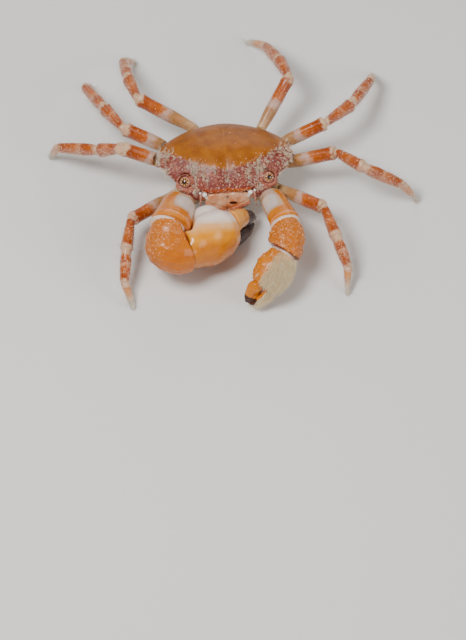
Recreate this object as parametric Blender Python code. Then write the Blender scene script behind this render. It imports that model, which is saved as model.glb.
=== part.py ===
"""A life-size still model of a small hairy crab with one massive claw.

The crab faces -Y, its own right side is at -X, and it stands on the floor at z = 0 on the tips
of its eight walking legs. Every size below is in millimetres, and each finished piece is scaled
to metres. Body places are given in the body's own axes, whose origin is the middle of the
carapace at its widest, and are turned into floor axes by on_body().
"""

import math
import random

import bmesh
import bpy
from mathutils import Matrix, Vector

MM = 0.001
GAP = 0.3

# Driving sizes of the body.
CARAPACE_WIDTH = 14.0
HALF_WIDTH = CARAPACE_WIDTH / 2
FRONT_REACH = 0.335 * CARAPACE_WIDTH
REAR_REACH = 0.335 * CARAPACE_WIDTH
DOME_HEIGHT = 0.135 * CARAPACE_WIDTH
BRANCHIAL_DEPTH = 0.165 * CARAPACE_WIDTH
FACE_DEPTH = 0.245 * CARAPACE_WIDTH
FRONT_DROP = 0.075 * CARAPACE_WIDTH

# How the body is held: its height over the floor, its nose-up tilt, and where its middle stands.
BODY_AT = Vector((-0.45, 0.2, 6.0))
BODY_PITCH = math.radians(16)

# Moves the whole crab so that the middle of its box stands over the origin.
STANDS_AT = Vector((-0.57, -1.465, 0.0))

# Eyes, in body axes.
EYE_AT = Vector((0.307 * CARAPACE_WIDTH, -0.272 * CARAPACE_WIDTH, -0.05 * CARAPACE_WIDTH))
EYE_RADIUS = 0.66
EYE_LOOKS = Vector((0.45, -0.8, 0.4)).normalized()

# Thoracic sternum, a plate that narrows towards the rear.
STERNUM_AT = Vector((0, 0.7, -3.45))
STERNUM_HALF = Vector((3.0, 3.5, 0.95))
STERNUM_TAPER = 0.3

# Roots of the limbs on the body for the left side, claw first; the right side mirrors them.
LIMB_ROOTS = (
    Vector((2.0, -2.2, -3.2)),
    Vector((2.8, -0.3, -3.4)),
    Vector((2.3, 0.6, -3.25)),
    Vector((2.0, 2.1, -3.15)),
    Vector((1.5, 3.3, -2.95)),
)

# Walking legs: lengths of hip, merus, carpus, propodus and dactylus, front pair first.
LEG_LENGTHS = (
    (3.6, 5.8, 3.7, 3.4, 3.1),
    (3.7, 6.4, 3.6, 5.4, 3.8),
    (3.7, 6.2, 4.1, 5.9, 4.4),
    (3.3, 6.8, 3.6, 5.2, 4.3),
)
# Half height and half thickness at the middle of each of those lengths.
LEG_GIRTHS = ((0.7, 0.6), (0.86, 0.66), (0.76, 0.62), (0.72, 0.58), (0.42, 0.38))
# Compass heading and climb of hip, merus, carpus and propodus, in degrees, then the heading of
# the dactylus, whose climb is worked out so that its tip meets the floor. 0 is +X, 90 is +Y.
LEG_POSES = {
    "right": (
        ((-143, 8), (-143, 10), (-101, -3), (-98, -33), -66),
        ((180, 32), (180, 33), (142, -42), (152, -25), 124),
        ((169, 30), (169, 31), (116, -18), (111, -26), 69),
        ((125, 45), (157, 22), (102, -17), (95, -32), 57),
    ),
    "left": (
        ((-39, 12), (-39, 12), (-75, -4), (-65, -42), -95),
        ((-5, 21), (-5, 21), (-44, 8), (0, -40), 0),
        ((10, 24), (10, 24), (44, -13), (62, -23), 80),
        ((24, 38), (55, 22), (103, -22), (105, -34), 126),
    ),
}

# Claw arms, in floor axes: shoulder, elbow, middle of the wrist piece, wrist, palm's far end and
# fingertip.
CLAW_JOINTS = {
    "right": {
        "shoulder": Vector((-5.4, -5.2, 4.9)),
        "elbow": Vector((-6.75, -9.2, 6.5)),
        "carpus": Vector((-7.5, -11.1, 5.2)),
        "wrist": Vector((-5.1, -11.3, 4.8)),
        "palm": Vector((-0.2, -7.9, 3.7)),
        "tip": Vector((2.4, -5.3, 0.9)),
    },
    "left": {
        "shoulder": Vector((4.1, -5.0, 4.7)),
        "elbow": Vector((5.3, -9.3, 5.9)),
        "carpus": Vector((5.6, -10.8, 5.5)),
        "wrist": Vector((4.9, -12.4, 4.9)),
        "palm": Vector((2.4, -15.2, 3.1)),
        "tip": Vector((0.9, -15.7, 0.9)),
    },
}
# Girths of merus, carpus and palm for each claw, which are the half heights of carpus and palm;
# the palm's thickness is a share of its height.
CLAW_GIRTHS = {"right": (2.4, 2.5, 3.05), "left": (1.75, 1.85, 1.95)}
CLAW_THICKNESS = 0.82
# The merus is flatter than it is broad and nearly straight-sided: half heights, then half widths,
# along it as shares of its girth.
MERUS_SHAPE = (
    ((0, 0.55), (0.3, 0.7), (0.7, 0.76), (1, 0.7)),
    ((0, 0.7), (0.3, 0.8), (0.7, 0.88), (1, 0.88)),
)
# The heel of the big palm, a swelling that fills the corner between merus and mouth.
PALM_HEEL_AT = Vector((-3.3, -7.9, 4.6))
PALM_HEEL_RADIUS = 1.6
# How far the merus and the carpus run past their joints before they are cut there.
MERUS_SPARE = 2.2
CARPUS_SPARE = (1.6, 0.9)
# Number and radius of the grains on each carpus, on the small hand, and of the fingers' teeth.
CARPUS_GRAINS = {"right": (26, 0.17), "left": (26, 0.2)}
SMALL_HAND_GRAINS = (30, 0.17)
FINGER_TEETH = {"right": (4, 0.42), "left": (4, 0.2)}
# Which way the upper edge of each palm faces.
PALM_UP = {"right": Vector((0.1, 0.3, 0.95)), "left": Vector((-0.75, 0.35, 0.55))}

COLOURS = {
    "shell": (0.55, 0.17, 0.02),
    "belly": (0.62, 0.47, 0.27),
    "limb": (0.6, 0.16, 0.04),
    "claw": (0.78, 0.3, 0.05),
    "finger": (0.05, 0.02, 0.015),
    "eye": (0.12, 0.06, 0.02),
}


def on_body(place):
    """A place in body axes, given in floor axes."""
    return BODY_AT + Matrix.Rotation(-BODY_PITCH, 3, "X") @ Vector(place)


def mirrored(place, side):
    """A place of the left side, or its mirror image on the right, where side is -1."""
    return Vector((place.x * side, place.y, place.z))


def heading_vector(heading, climb):
    """The unit direction of a compass heading and a climb, both in degrees."""
    turn, rise = math.radians(heading), math.radians(climb)
    return Vector((math.cos(turn) * math.cos(rise), math.sin(turn) * math.cos(rise), math.sin(rise)))


def smooth(low, high, value):
    """0 below low, 1 above high, and an even S between them."""
    share = min(1.0, max(0.0, (value - low) / (high - low)))
    return share * share * (3 - 2 * share)


def along(keys, share):
    """A value at a share of the way along a row of (share, value) keys, eased between them."""
    for (start, first), (end, second) in zip(keys, keys[1:]):
        if share <= end:
            return first + (second - first) * smooth(start, end, share)
    return keys[-1][1]


def bend(points, share):
    """A point on the Bezier curve of two or more points."""
    if len(points) == 2:
        return points[0].lerp(points[1], share)
    return bend(points[:-1], share).lerp(bend(points[1:], share), share)


def roll(stations, sides, surface):
    """A flat grid rolled into a closed skin; surface(share, turn) gives each of its points."""
    bm = bmesh.new()
    bmesh.ops.create_grid(bm, x_segments=stations, y_segments=sides, size=0.5)
    for vertex in bm.verts:
        vertex.co = surface(vertex.co.x + 0.5, (vertex.co.y + 0.5) * math.tau)
    bmesh.ops.remove_doubles(bm, verts=bm.verts, dist=0.001)
    close(bm)
    return bm


def close(bm):
    """Fills the open ends and turns every face outwards."""
    bmesh.ops.holes_fill(bm, edges=[edge for edge in bm.edges if edge.is_boundary])
    bmesh.ops.recalc_face_normals(bm, faces=bm.faces)


def tube(points, up, heights, widths, squareness=2.0):
    """surface(share, turn) of a limb along a curve, with half heights towards up and half widths."""

    def surface(share, turn):
        centre = bend(points, share)
        ahead = (bend(points, min(1, share + 0.02)) - bend(points, max(0, share - 0.02))).normalized()
        rise = (up - ahead * up.dot(ahead)).normalized()
        across = ahead.cross(rise)
        power = 2 / squareness
        cosine, sine = math.cos(turn), math.sin(turn)
        x = math.copysign(abs(cosine) ** power, cosine) * along(widths, share)
        z = math.copysign(abs(sine) ** power, sine) * along(heights, share)
        return centre + across * x + rise * z

    return surface


def sweep(points, up, heights, widths, stations=7, sides=12, squareness=2.0):
    """A closed limb piece along a curve."""
    return roll(stations, sides, tube(points, up, heights, widths, squareness))


def cut(bm, place, normal):
    """Cuts away what lies beyond a plane and closes the cut with a flat face."""
    geometry = bm.verts[:] + bm.edges[:] + bm.faces[:]
    bmesh.ops.bisect_plane(bm, geom=geometry, dist=0.0001, plane_co=place, plane_no=normal, clear_outer=True)
    close(bm)


def part_at_joint(before, after, place):
    """Cuts two pieces apart on the plane that halves the bend at their joint, leaving the gap."""
    (first, first_way), (second, second_way) = before, after
    normal = (first_way.normalized() + second_way.normalized()).normalized()
    cut(first, place - normal * GAP / 2, normal)
    cut(second, place + normal * GAP / 2, -normal)


def helper(bm):
    """A scene object in millimetres from a bmesh, which it uses up."""
    mesh = bpy.data.meshes.new("helper")
    bm.to_mesh(mesh)
    bm.free()
    made = bpy.data.objects.new("helper", mesh)
    bpy.context.scene.collection.objects.link(made)
    return made


def boolean(bm, others, operation):
    """bm joined with, or cut by, the other bmeshes; keeps the largest closed surface."""
    base = helper(bm)
    group = bpy.data.collections.new("joined")
    bpy.context.scene.collection.children.link(group)
    for other in others:
        tool = helper(other)
        bpy.context.scene.collection.objects.unlink(tool)
        group.objects.link(tool)
    modifier = base.modifiers.new("boolean", "BOOLEAN")
    modifier.operation = operation
    modifier.operand_type = "COLLECTION"
    modifier.collection = group
    modifier.solver = "MANIFOLD"
    bpy.context.view_layer.update()
    result = base.evaluated_get(bpy.context.evaluated_depsgraph_get()).to_mesh()
    joined = bmesh.new()
    joined.from_mesh(result)
    for used in [base, *group.objects]:
        bpy.data.objects.remove(used)
    bpy.data.collections.remove(group)
    keep_largest(joined)
    return joined


def keep_largest(bm):
    """Drops every closed surface but the largest."""
    shells, seen = [], set()
    for face in bm.faces:
        if face in seen:
            continue
        shell, front = [], [face]
        seen.add(face)
        while front:
            current = front.pop()
            shell.append(current)
            for edge in current.edges:
                for linked in edge.link_faces:
                    if linked not in seen:
                        seen.add(linked)
                        front.append(linked)
        shells.append(shell)
    shells.sort(key=lambda shell: sum(face.calc_area() for face in shell))
    extra = [face for shell in shells[:-1] for face in shell]
    if extra:
        bmesh.ops.delete(bm, geom=extra, context="FACES")
        bmesh.ops.delete(bm, geom=[v for v in bm.verts if not v.link_faces], context="VERTS")


def material(name):
    """The plain finish of one kind of surface."""
    made = bpy.data.materials.get(name)
    if made is None:
        made = bpy.data.materials.new(name)
        made.use_nodes = True
        shader = made.node_tree.nodes["Principled BSDF"]
        shader.inputs["Base Color"].default_value = (*COLOURS[name], 1)
        shader.inputs["Roughness"].default_value = 0.15 if name in ("eye", "finger") else 0.4
        shader.inputs["Metallic"].default_value = 0
    return made


def finish(name, bm, root, kind, crab):
    """Makes the node from a bmesh in millimetres, with its origin at its root."""
    bmesh.ops.translate(bm, verts=bm.verts, vec=-Vector(root))
    bmesh.ops.scale(bm, verts=bm.verts, vec=(MM, MM, MM))
    mesh = bpy.data.meshes.new(name)
    bm.to_mesh(mesh)
    bm.free()
    mesh.shade_smooth()
    mesh.set_sharp_from_angle(angle=math.radians(35))
    mesh.materials.append(material(kind))
    node = bpy.data.objects.new(name, mesh)
    node.location = (Vector(root) + STANDS_AT) * MM
    node.parent = crab
    bpy.context.scene.collection.objects.link(node)
    return node


# Carapace: one dome with the face and cheeks turned down under its rim.
RIM_SIDES = 56
LIP_OVERHANG = 0.5
SUBORBITAL_KNOB_AT = Vector((2.55, -4.2, -2.0))
SUBORBITAL_KNOB_RADIUS = 0.26
FRONT_SQUARENESS = 2.35
REAR_SQUARENESS = 1.75
# Teeth of the front side edge: bearing from straight sideways towards the front, and length.
RIM_TEETH = ((4, 0.55), (17, 0.5), (30, 0.45), (42, 0.4))
RIM_TOOTH_RADIUS = 0.66


def rim(bearing, grow=0.0):
    """The carapace's outline at a bearing in radians, 0 at the crab's left and -90 degrees in front."""
    front = math.sin(bearing) < 0
    power = 2 / (FRONT_SQUARENESS if front else REAR_SQUARENESS)
    reach = FRONT_REACH if front else REAR_REACH
    cosine, sine = math.cos(bearing), math.sin(bearing)
    x = math.copysign(abs(cosine) ** power, cosine) * (HALF_WIDTH - 0.1 + grow)
    y = math.copysign(abs(sine) ** power, sine) * (reach + grow)
    if front:
        lobe = 1 - smooth(2.3, 2.9, abs(x))
        y -= 0.28 * lobe * (1 - 0.9 * math.exp(-((x / 0.35) ** 2)))
    return Vector((x, y, 0))


def rim_height(edge):
    """The rim runs level at the sides, drops at the front and a little at the rear."""
    drop = FRONT_DROP * smooth(1.5, FRONT_REACH, -edge.y)
    return -drop - 0.15 * smooth(1.0, REAR_REACH, edge.y)


def carapace_skin(grow=0.0):
    """The whole closed carapace, larger by grow all round."""
    bm = bmesh.new()
    bmesh.ops.create_uvsphere(bm, u_segments=RIM_SIDES, v_segments=18, radius=1)
    for vertex in bm.verts:
        bearing = math.atan2(vertex.co.y, vertex.co.x)
        bearing -= 0.12 * math.sin(2 * bearing) * (1 if vertex.co.y < 0 else 0)
        level = math.asin(max(-1.0, min(1.0, vertex.co.z)))
        reach = math.cos(level) ** 0.85
        edge = rim(bearing, grow)
        place = edge * reach
        base = rim_height(edge)
        if level > 0:
            dome = (DOME_HEIGHT - base + grow) * (1 - reach**2.3) ** 0.76
            place.z = base + dome
        else:
            facing = smooth(0.0, FRONT_REACH * 0.9, -place.y)
            depth = BRANCHIAL_DEPTH + (FACE_DEPTH - BRANCHIAL_DEPTH) * facing + grow
            place.z = base - (depth + base) * (1 - reach**5.0)
            under_lip = smooth(0.1, 0.6, -level) * smooth(3.3, 2.3, abs(place.x)) if place.y < 0 else 0
            place.y += LIP_OVERHANG * under_lip
        vertex.co = place
    bmesh.ops.recalc_face_normals(bm, faces=bm.faces)
    return bm


def spike(root, tip, radius, sides=6, blunt=0.45):
    """A low cone from its sunk root to its blunt tip."""
    bm = bmesh.new()
    bmesh.ops.create_cone(bm, cap_ends=True, segments=sides, radius1=radius, radius2=radius * blunt, depth=1)
    way = tip - root
    turn = way.to_track_quat("Z", "Y").to_matrix().to_4x4()
    place = Matrix.Translation((root + tip) / 2) @ turn @ Matrix.Diagonal((1, 1, way.length, 1))
    bmesh.ops.transform(bm, verts=bm.verts, matrix=place)
    return bm


def grains(surface, count, seed, shares, turns, size):
    """Blunt grains strewn over a part of a tube, none nearer to another than their own width."""
    chance = random.Random(seed)
    made, places = [], []
    for _ in range(count * 6):
        share, turn = chance.uniform(*shares), chance.uniform(*turns)
        place = surface(share, turn)
        along_way = surface(share + 0.01, turn) - place
        round_way = surface(share, turn + 0.01) - place
        outward = round_way.cross(along_way).normalized()
        inside = surface(share, turn + math.pi)
        if outward.dot(place - inside) < 0:
            outward.negate()
        radius = size * chance.uniform(0.8, 1.25)
        if any((place - other).length < size * 3.2 for other in places):
            continue
        places.append(place)
        made.append(spike(place - outward * radius * 1.2, place + outward * radius * 0.8, radius, 6))
        if len(made) == count:
            break
    return made


def ball(place, radius, sides):
    """A round body, half as many rings high as it has sides."""
    bm = bmesh.new()
    bmesh.ops.create_uvsphere(bm, u_segments=sides, v_segments=max(6, sides // 2), radius=radius)
    bmesh.ops.translate(bm, verts=bm.verts, vec=place)
    return bm


def box(low, high):
    """A straight block between two corners."""
    bm = bmesh.new()
    bmesh.ops.create_cube(bm, size=1)
    size = Vector(high) - Vector(low)
    bmesh.ops.scale(bm, verts=bm.verts, vec=size)
    bmesh.ops.translate(bm, verts=bm.verts, vec=(Vector(high) + Vector(low)) / 2)
    return bm


# The mouth frame is cut in from well outside the face, as deep as its back wall.
MOUTH_HALF = 2.25
MOUTH_TOP = -1.92
MOUTH_BACK = -2.6
WELL_OUTSIDE = -8.0
ORBIT_OPENING = 0.6


def rim_teeth(grow=0.0):
    """The teeth of the carapace's side edges and the knobs below its orbits, larger by grow."""
    teeth = []
    for side in (1, -1):
        for bearing, length in RIM_TEETH:
            edge = rim(math.radians(-bearing))
            edge.x *= side
            outward = Vector((edge.x / HALF_WIDTH, edge.y / FRONT_REACH, 0)).normalized()
            level = Vector((0, 0, rim_height(edge) - 0.05))
            lean = Vector((0, -0.25 * length, 0.05))
            tip = edge + outward * (length * 0.6 + grow) + level + lean
            blunt = 0.15 + grow / RIM_TOOTH_RADIUS
            teeth.append(spike(edge * 0.86 + level, tip, RIM_TOOTH_RADIUS + grow, 6, blunt))
        teeth.append(ball(mirrored(SUBORBITAL_KNOB_AT, side), SUBORBITAL_KNOB_RADIUS + grow, 8))
    return teeth


def carapace():
    """The dome with its rim teeth, the two orbits and the mouth frame cut into it."""
    body = boolean(carapace_skin(), rim_teeth(), "UNION")
    cutters = [box((-MOUTH_HALF, WELL_OUTSIDE, WELL_OUTSIDE), (MOUTH_HALF, MOUTH_BACK, MOUTH_TOP))]
    for side in (1, -1):
        middle = mirrored(EYE_AT, side)
        cutters.append(ball(middle, EYE_RADIUS + GAP, 16))
        cutters.append(ball(middle + mirrored(EYE_LOOKS, side) * ORBIT_OPENING, EYE_RADIUS + GAP, 16))
    for cutter in cutters:
        body = boolean(body, [cutter], "DIFFERENCE")
    return body


def sternum_skin(grow=0.0):
    """The breast plate that carries the limbs, larger by grow all round."""
    bm = bmesh.new()
    bmesh.ops.create_uvsphere(bm, u_segments=22, v_segments=10, radius=1)
    for vertex in bm.verts:
        bearing = math.atan2(vertex.co.y, vertex.co.x)
        level = math.asin(max(-1.0, min(1.0, vertex.co.z)))
        reach = math.cos(level) ** 0.5
        x = math.copysign(abs(math.cos(bearing)) ** 0.75, math.cos(bearing)) * reach
        y = math.copysign(abs(math.sin(bearing)) ** 0.75, math.sin(bearing)) * reach
        narrow = 1 - STERNUM_TAPER * y
        z = math.copysign(abs(vertex.co.z) ** 0.6, vertex.co.z)
        vertex.co = STERNUM_AT + Vector(
            (
                x * narrow * (STERNUM_HALF.x + grow),
                y * (STERNUM_HALF.y + grow),
                z * (STERNUM_HALF.z + grow) + 0.45 * smooth(0.2, 1, y),
            )
        )
    bmesh.ops.recalc_face_normals(bm, faces=bm.faces)
    return bm


def turned(bm):
    """Moves a bmesh from body axes to floor axes."""
    turn = Matrix.Translation(BODY_AT) @ Matrix.Rotation(-BODY_PITCH, 4, "X")
    bmesh.ops.transform(bm, verts=bm.verts, matrix=turn)
    return bm


TAIL_SEGMENTS = 6
TAIL_NOTCH = 0.14


def abdomen():
    """The male's narrow tail flap, folded from the rear edge forward under the sternum."""
    path = [Vector((0, 3.3, -1.0)), Vector((0, 6.5, -0.8)), Vector((0, 6.3, -5.6)), Vector((0, -1.2, -4.8))]
    heights = ((0, 0.3), (0.15, 0.32), (0.5, 0.34), (0.75, 0.44), (1, 0.3))
    widths = [(0, 1.3)]
    for segment in range(1, TAIL_SEGMENTS):
        share = segment / TAIL_SEGMENTS
        breadth = along(((0, 1.3), (0.3, 1.5), (0.5, 1.25), (0.85, 0.8), (1, 0.35)), share)
        widths += [(share - 0.05, breadth), (share, breadth - TAIL_NOTCH), (share + 0.05, breadth)]
    widths.append((1, 0.35))
    return sweep(path, Vector((0, 0.7, 0.72)), heights, widths, stations=25, sides=10, squareness=3)


MAXILLIPED_ROOT = Vector((1.08, -2.9, -4.1))
ANTENNA_ROOT = Vector((2.75, -4.4, -1.7))


def maxilliped(side):
    """One of the pair of plates that close the mouth, a little open."""
    path = [
        Vector((side * 1.12, -2.5, -4.35)),
        Vector((side * 1.16, -4.7, -4.5)),
        Vector((side * 1.08, -4.75, -2.25)),
    ]
    heights = ((0, 0.3), (0.5, 0.34), (1, 0.26))
    widths = ((0, 0.78), (0.3, 0.95), (0.8, 0.92), (1, 0.74))
    return sweep(path, Vector((0, -1, -0.4)), heights, widths, stations=9, sides=12, squareness=3)


def eye(side):
    """One eye, round, in its orbit."""
    return ball(mirrored(EYE_AT, side), EYE_RADIUS, 16)


def antenna(side):
    """A stout base under the front's corner and a short whip that curves down and outwards."""
    root = mirrored(ANTENNA_ROOT, side)
    path = [root, root + Vector((side * 0.1, -1.1, -0.1)), root + Vector((side * 0.2, -1.2, -1.3))]
    girth = ((0, 0.4), (0.18, 0.36), (0.24, 0.26), (0.7, 0.24), (1, 0.08))
    return sweep(path, Vector((0, 0, 1)), girth, girth, stations=9, sides=8)


def limb_root(side, number):
    """Where a limb leaves the body, in floor axes; the claw is number 0."""
    return on_body(mirrored(LIMB_ROOTS[number], side))


def leg_joints(side_name, pair):
    """The places of a leg's joints from its root to its tip, which meets the floor."""
    side = 1 if side_name == "left" else -1
    lengths = LEG_LENGTHS[pair]
    *bends, last_heading = LEG_POSES[side_name][pair]
    joints = [limb_root(side, pair + 1)]
    for length, (heading, climb) in zip(lengths[:4], bends):
        joints.append(joints[-1] + heading_vector(heading, climb) * length)
    drop = math.degrees(math.asin(min(0.97, joints[-1].z / lengths[4])))
    joints.append(joints[-1] + heading_vector(last_heading, -drop) * lengths[4])
    return joints


LEG_PIECES = ("hip", "merus", "carpus", "propodus", "dactylus")
LEG_STATIONS = (4, 8, 6, 8, 7)
FOOT_SINK = 0.14


def leg_piece(joints, number, grow=0.0):
    """One leg piece, run past both of its joints so that the joint's plane can cut it."""
    start, end = joints[number], joints[number + 1]
    way = (end - start).normalized()
    half_height, half_width = (girth + grow for girth in LEG_GIRTHS[number])
    spare = 0.9 if number < 4 else 0.3
    reach = end - start
    share = spare / (reach.length + 2 * spare)
    swell = {
        0: ((0, 1.0), (0.45, 1.05), (0.75, 0.86), (1, 0.92)),
        1: ((0, 0.66), (share + 0.04, 0.74), (0.45, 0.98), (0.8, 0.94), (1 - share, 1.0), (1, 0.98)),
        2: ((0, 0.62), (share + 0.05, 0.7), (0.55, 0.92), (1 - share, 1.06), (1, 1.0)),
        3: ((0, 0.7), (share + 0.04, 0.78), (0.35, 1.02), (0.65, 0.94), (1 - share, 0.7), (1, 0.68)),
        4: ((0, 1.2), (0.15, 1.15), (0.4, 0.95), (0.8, 0.55), (1, 0.26)),
    }[number]
    heights = [(at, value * half_height) for at, value in swell]
    widths = [(at, value * half_width) for at, value in swell]
    if number == 4:
        sag = Vector((0, 0, 0.35))
        foot = end - Vector((0, 0, FOOT_SINK))
        points = [start - way * spare, (start + end) / 2 + sag, foot]
    else:
        points = [start - way * spare, end + way * spare]
    return sweep(points, Vector((0, 0, 1)), heights, widths, stations=LEG_STATIONS[number], sides=10)


def walking_leg(side_name, pair, crab, keep_clear):
    """Builds the five pieces of one leg, parted at their joints; returns its hip, grown by the gap."""
    joints = leg_joints(side_name, pair)
    ways = [end - start for start, end in zip(joints, joints[1:])]
    pieces = [leg_piece(joints, number) for number in range(5)]
    for number in range(4):
        before, after = ((pieces[one], ways[one]) for one in (number, number + 1))
        part_at_joint(before, after, joints[number + 1])
    cut(pieces[4], Vector((0, 0, 0)), Vector((0, 0, -1)))
    for number in (0, 1):
        pieces[number] = boolean(pieces[number], [bm.copy() for bm in keep_clear], "DIFFERENCE")
    for number, (bm, name) in enumerate(zip(pieces, LEG_PIECES)):
        finish(f"leg_{side_name}_{pair + 1}_{name}", bm, joints[number], "limb", crab)
    grown_hip = leg_piece(joints, 0, GAP)
    cut(grown_hip, joints[1], ways[0])
    return grown_hip


def claw_arm(side_name, crab, keep_clear):
    """Hip, merus, carpus, hand and movable finger of one claw arm."""
    side = 1 if side_name == "left" else -1
    places = CLAW_JOINTS[side_name]
    merus_girth, carpus_girth, palm_girth = CLAW_GIRTHS[side_name]
    root = limb_root(side, 0)
    shoulder, elbow, wrist = places["shoulder"], places["elbow"], places["wrist"]
    outwards = (shoulder - root).normalized()
    arm = (elbow - shoulder).normalized()
    up = Vector((0, 0, 1))

    hip_path = [root, shoulder + outwards * 0.9]
    hip = sweep(hip_path, up, ((0, 0.9), (1, 0.95)), ((0, 0.75), (1, 0.85)), stations=5)
    rises, flares = MERUS_SHAPE
    merus_heights = [(at, value * merus_girth) for at, value in rises]
    merus_widths = [(at, value * merus_girth) for at, value in flares]
    merus_path = [shoulder - arm * 0.9, elbow + arm * MERUS_SPARE]
    merus = sweep(merus_path, up, merus_heights, merus_widths, stations=9, sides=16)
    grown_heights = [(at, value + GAP) for at, value in merus_heights]
    grown_widths = [(at, value + GAP) for at, value in merus_widths]
    grown_merus = sweep(merus_path, up, grown_heights, grown_widths, stations=9, sides=16)
    bulge = places["carpus"] * 2 - (elbow + wrist) / 2
    leaving = (bulge - elbow).normalized()
    arriving = (wrist - bulge).normalized()
    swell = ((0, 0.55), (0.2, 0.74), (0.5, 1), (0.8, 0.98), (1, 0.84))
    carpus_heights = [(at, value * carpus_girth) for at, value in swell]
    carpus_path = [elbow - leaving * CARPUS_SPARE[0], bulge, wrist + arriving * CARPUS_SPARE[1]]
    carpus_skin = tube(carpus_path, up, carpus_heights, carpus_heights, 2.2)
    carpus = roll(11, 18, carpus_skin)
    count, size = CARPUS_GRAINS[side_name]
    carpus_grains = grains(carpus_skin, count, 11 + side, (0.28, 0.76), (-0.2, math.pi + 0.4), size)
    hand, finger = claw_hand(side_name)
    onward = places["palm"] - wrist
    part_at_joint((hip, outwards), (merus, arm), shoulder)
    level_arm = Vector((arm.x, arm.y, 0))
    part_at_joint((merus, level_arm), (carpus, level_arm), elbow)
    cut(grown_merus, elbow + level_arm.normalized() * GAP / 2, level_arm)
    hand = boolean(hand, [grown_merus], "DIFFERENCE")
    carpus = boolean(carpus, carpus_grains, "UNION")
    part_at_joint((carpus, arriving), (hand, onward), wrist)
    hip = boolean(hip, [bm.copy() for bm in keep_clear], "DIFFERENCE")
    merus = boolean(merus, [bm.copy() for bm in keep_clear[1:]], "DIFFERENCE")
    finish(f"claw_{side_name}_hip", hip, root, "belly", crab)
    finish(f"claw_{side_name}_merus", merus, shoulder, "claw", crab)
    finish(f"claw_{side_name}_carpus", carpus, elbow, "claw", crab)
    finish(f"claw_{side_name}_hand", hand, wrist, "claw", crab)
    finish(f"claw_{side_name}_finger", finger, places["palm"], "finger", crab)


def claw_hand(side_name):
    """The palm with its fixed finger, and the movable finger above it."""
    places = CLAW_JOINTS[side_name]
    girth = CLAW_GIRTHS[side_name][2]
    wrist, palm, tip = places["wrist"], places["palm"], places["tip"]
    up = PALM_UP[side_name].normalized()
    onward = (palm - wrist).normalized()
    heights = ((0, 0.55 * girth), (0.2, 0.78 * girth), (0.55, girth), (0.8, 0.95 * girth), (1, 0.7 * girth))
    widths = [(at, value * CLAW_THICKNESS) for at, value in heights]
    skin = tube([wrist - onward * 0.8, palm - onward * GAP / 2], up, heights, widths)
    body = roll(13, 20, skin)
    length = (tip - palm).length
    finger_heights = ((0, 0.42 * girth), (0.3, 0.38 * girth), (0.7, 0.25 * girth), (1, 0.07 * girth))
    finger_widths = [(at, value * 0.85) for at, value in finger_heights]
    ahead = (tip - palm).normalized()
    low_path = [
        palm - up * girth * 0.3 - onward * 1.4,
        palm - up * girth * 0.62 + ahead * length * 0.5,
        tip - up * girth * 0.02,
    ]
    high_path = [
        palm + up * girth * 0.26 - onward * 0.4,
        palm + up * girth * 0.42 + ahead * length * 0.5,
        tip + up * girth * 0.14,
    ]
    finger = sweep(high_path, up, finger_heights, finger_widths, stations=10, sides=12)
    cut(finger, palm + onward * GAP / 2, -onward)
    room = sweep(
        [high_path[0], high_path[1], high_path[2] + ahead * 0.4],
        up,
        [(at, value + GAP) for at, value in finger_heights],
        [(at, value + GAP) for at, value in finger_widths],
        stations=10,
        sides=12,
    )
    cut(room, palm - onward * GAP / 3, -onward)
    low = sweep(low_path, up, finger_heights, finger_widths, stations=10, sides=12)
    added = [low, *finger_teeth(side_name, low_path, finger_heights, up)]
    if side_name == "right":
        added.append(ball(PALM_HEEL_AT, PALM_HEEL_RADIUS, 16))
    else:
        added += grains(skin, SMALL_HAND_GRAINS[0], 21, (0.3, 0.9), (0.0, math.tau), SMALL_HAND_GRAINS[1])
    hand = boolean(body, added, "UNION")
    hand = boolean(hand, [room], "DIFFERENCE")
    return hand, finger


def finger_teeth(side_name, path, heights, up):
    """Blunt molar teeth along the biting edge of the fixed finger."""
    count, radius = FINGER_TEETH[side_name]
    teeth = []
    for tooth in range(count):
        share = 0.5 + 0.42 * tooth / count
        size = radius * (1 - 0.5 * tooth / count)
        place = bend(path, share) + up * (along(heights, share) - 0.35 * size)
        teeth.append(ball(place, size, 8))
    return teeth


def main():
    """Clears the scene and builds every node of the crab."""
    for old in list(bpy.data.objects):
        bpy.data.objects.remove(old)
    crab = bpy.data.objects.new("crab", None)
    bpy.context.scene.collection.objects.link(crab)

    body_root = on_body((0, 0, 0))
    shell = turned(carapace())
    flap = turned(abdomen())
    grown_sternum = turned(sternum_skin(GAP))
    grown_shell = turned(boolean(carapace_skin(GAP), rim_teeth(GAP), "UNION"))
    plate = boolean(turned(sternum_skin()), [grown_shell.copy()], "DIFFERENCE")
    flap = boolean(flap, [grown_shell.copy()], "DIFFERENCE")
    flap = boolean(flap, [grown_sternum.copy()], "DIFFERENCE")
    keep_clear = [grown_sternum, grown_shell]

    for side_name, side in (("right", -1), ("left", 1)):
        claw_arm(side_name, crab, keep_clear)
        hips = []
        for pair in range(4):
            hips.append(walking_leg(side_name, pair, crab, keep_clear + hips))
        for grown in hips:
            grown.free()
        finish(f"eye_{side_name}", turned(eye(side)), on_body(mirrored(EYE_AT, side)), "eye", crab)
        jaw = boolean(turned(maxilliped(side)), [grown_sternum.copy()], "DIFFERENCE")
        finish(f"maxilliped_{side_name}", jaw, on_body(mirrored(MAXILLIPED_ROOT, side)), "shell", crab)
        feeler = boolean(turned(antenna(side)), [grown_shell.copy()], "DIFFERENCE")
        finish(f"antenna_{side_name}", feeler, on_body(mirrored(ANTENNA_ROOT, side)), "limb", crab)
    finish("carapace", shell, body_root, "shell", crab)
    finish("sternum", plate, body_root, "belly", crab)
    finish("abdomen", flap, body_root, "belly", crab)
    for grown in keep_clear:
        grown.free()


main()
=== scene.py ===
import math

import bmesh
import bpy
import numpy as np
from mathutils import Matrix, Vector


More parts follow.
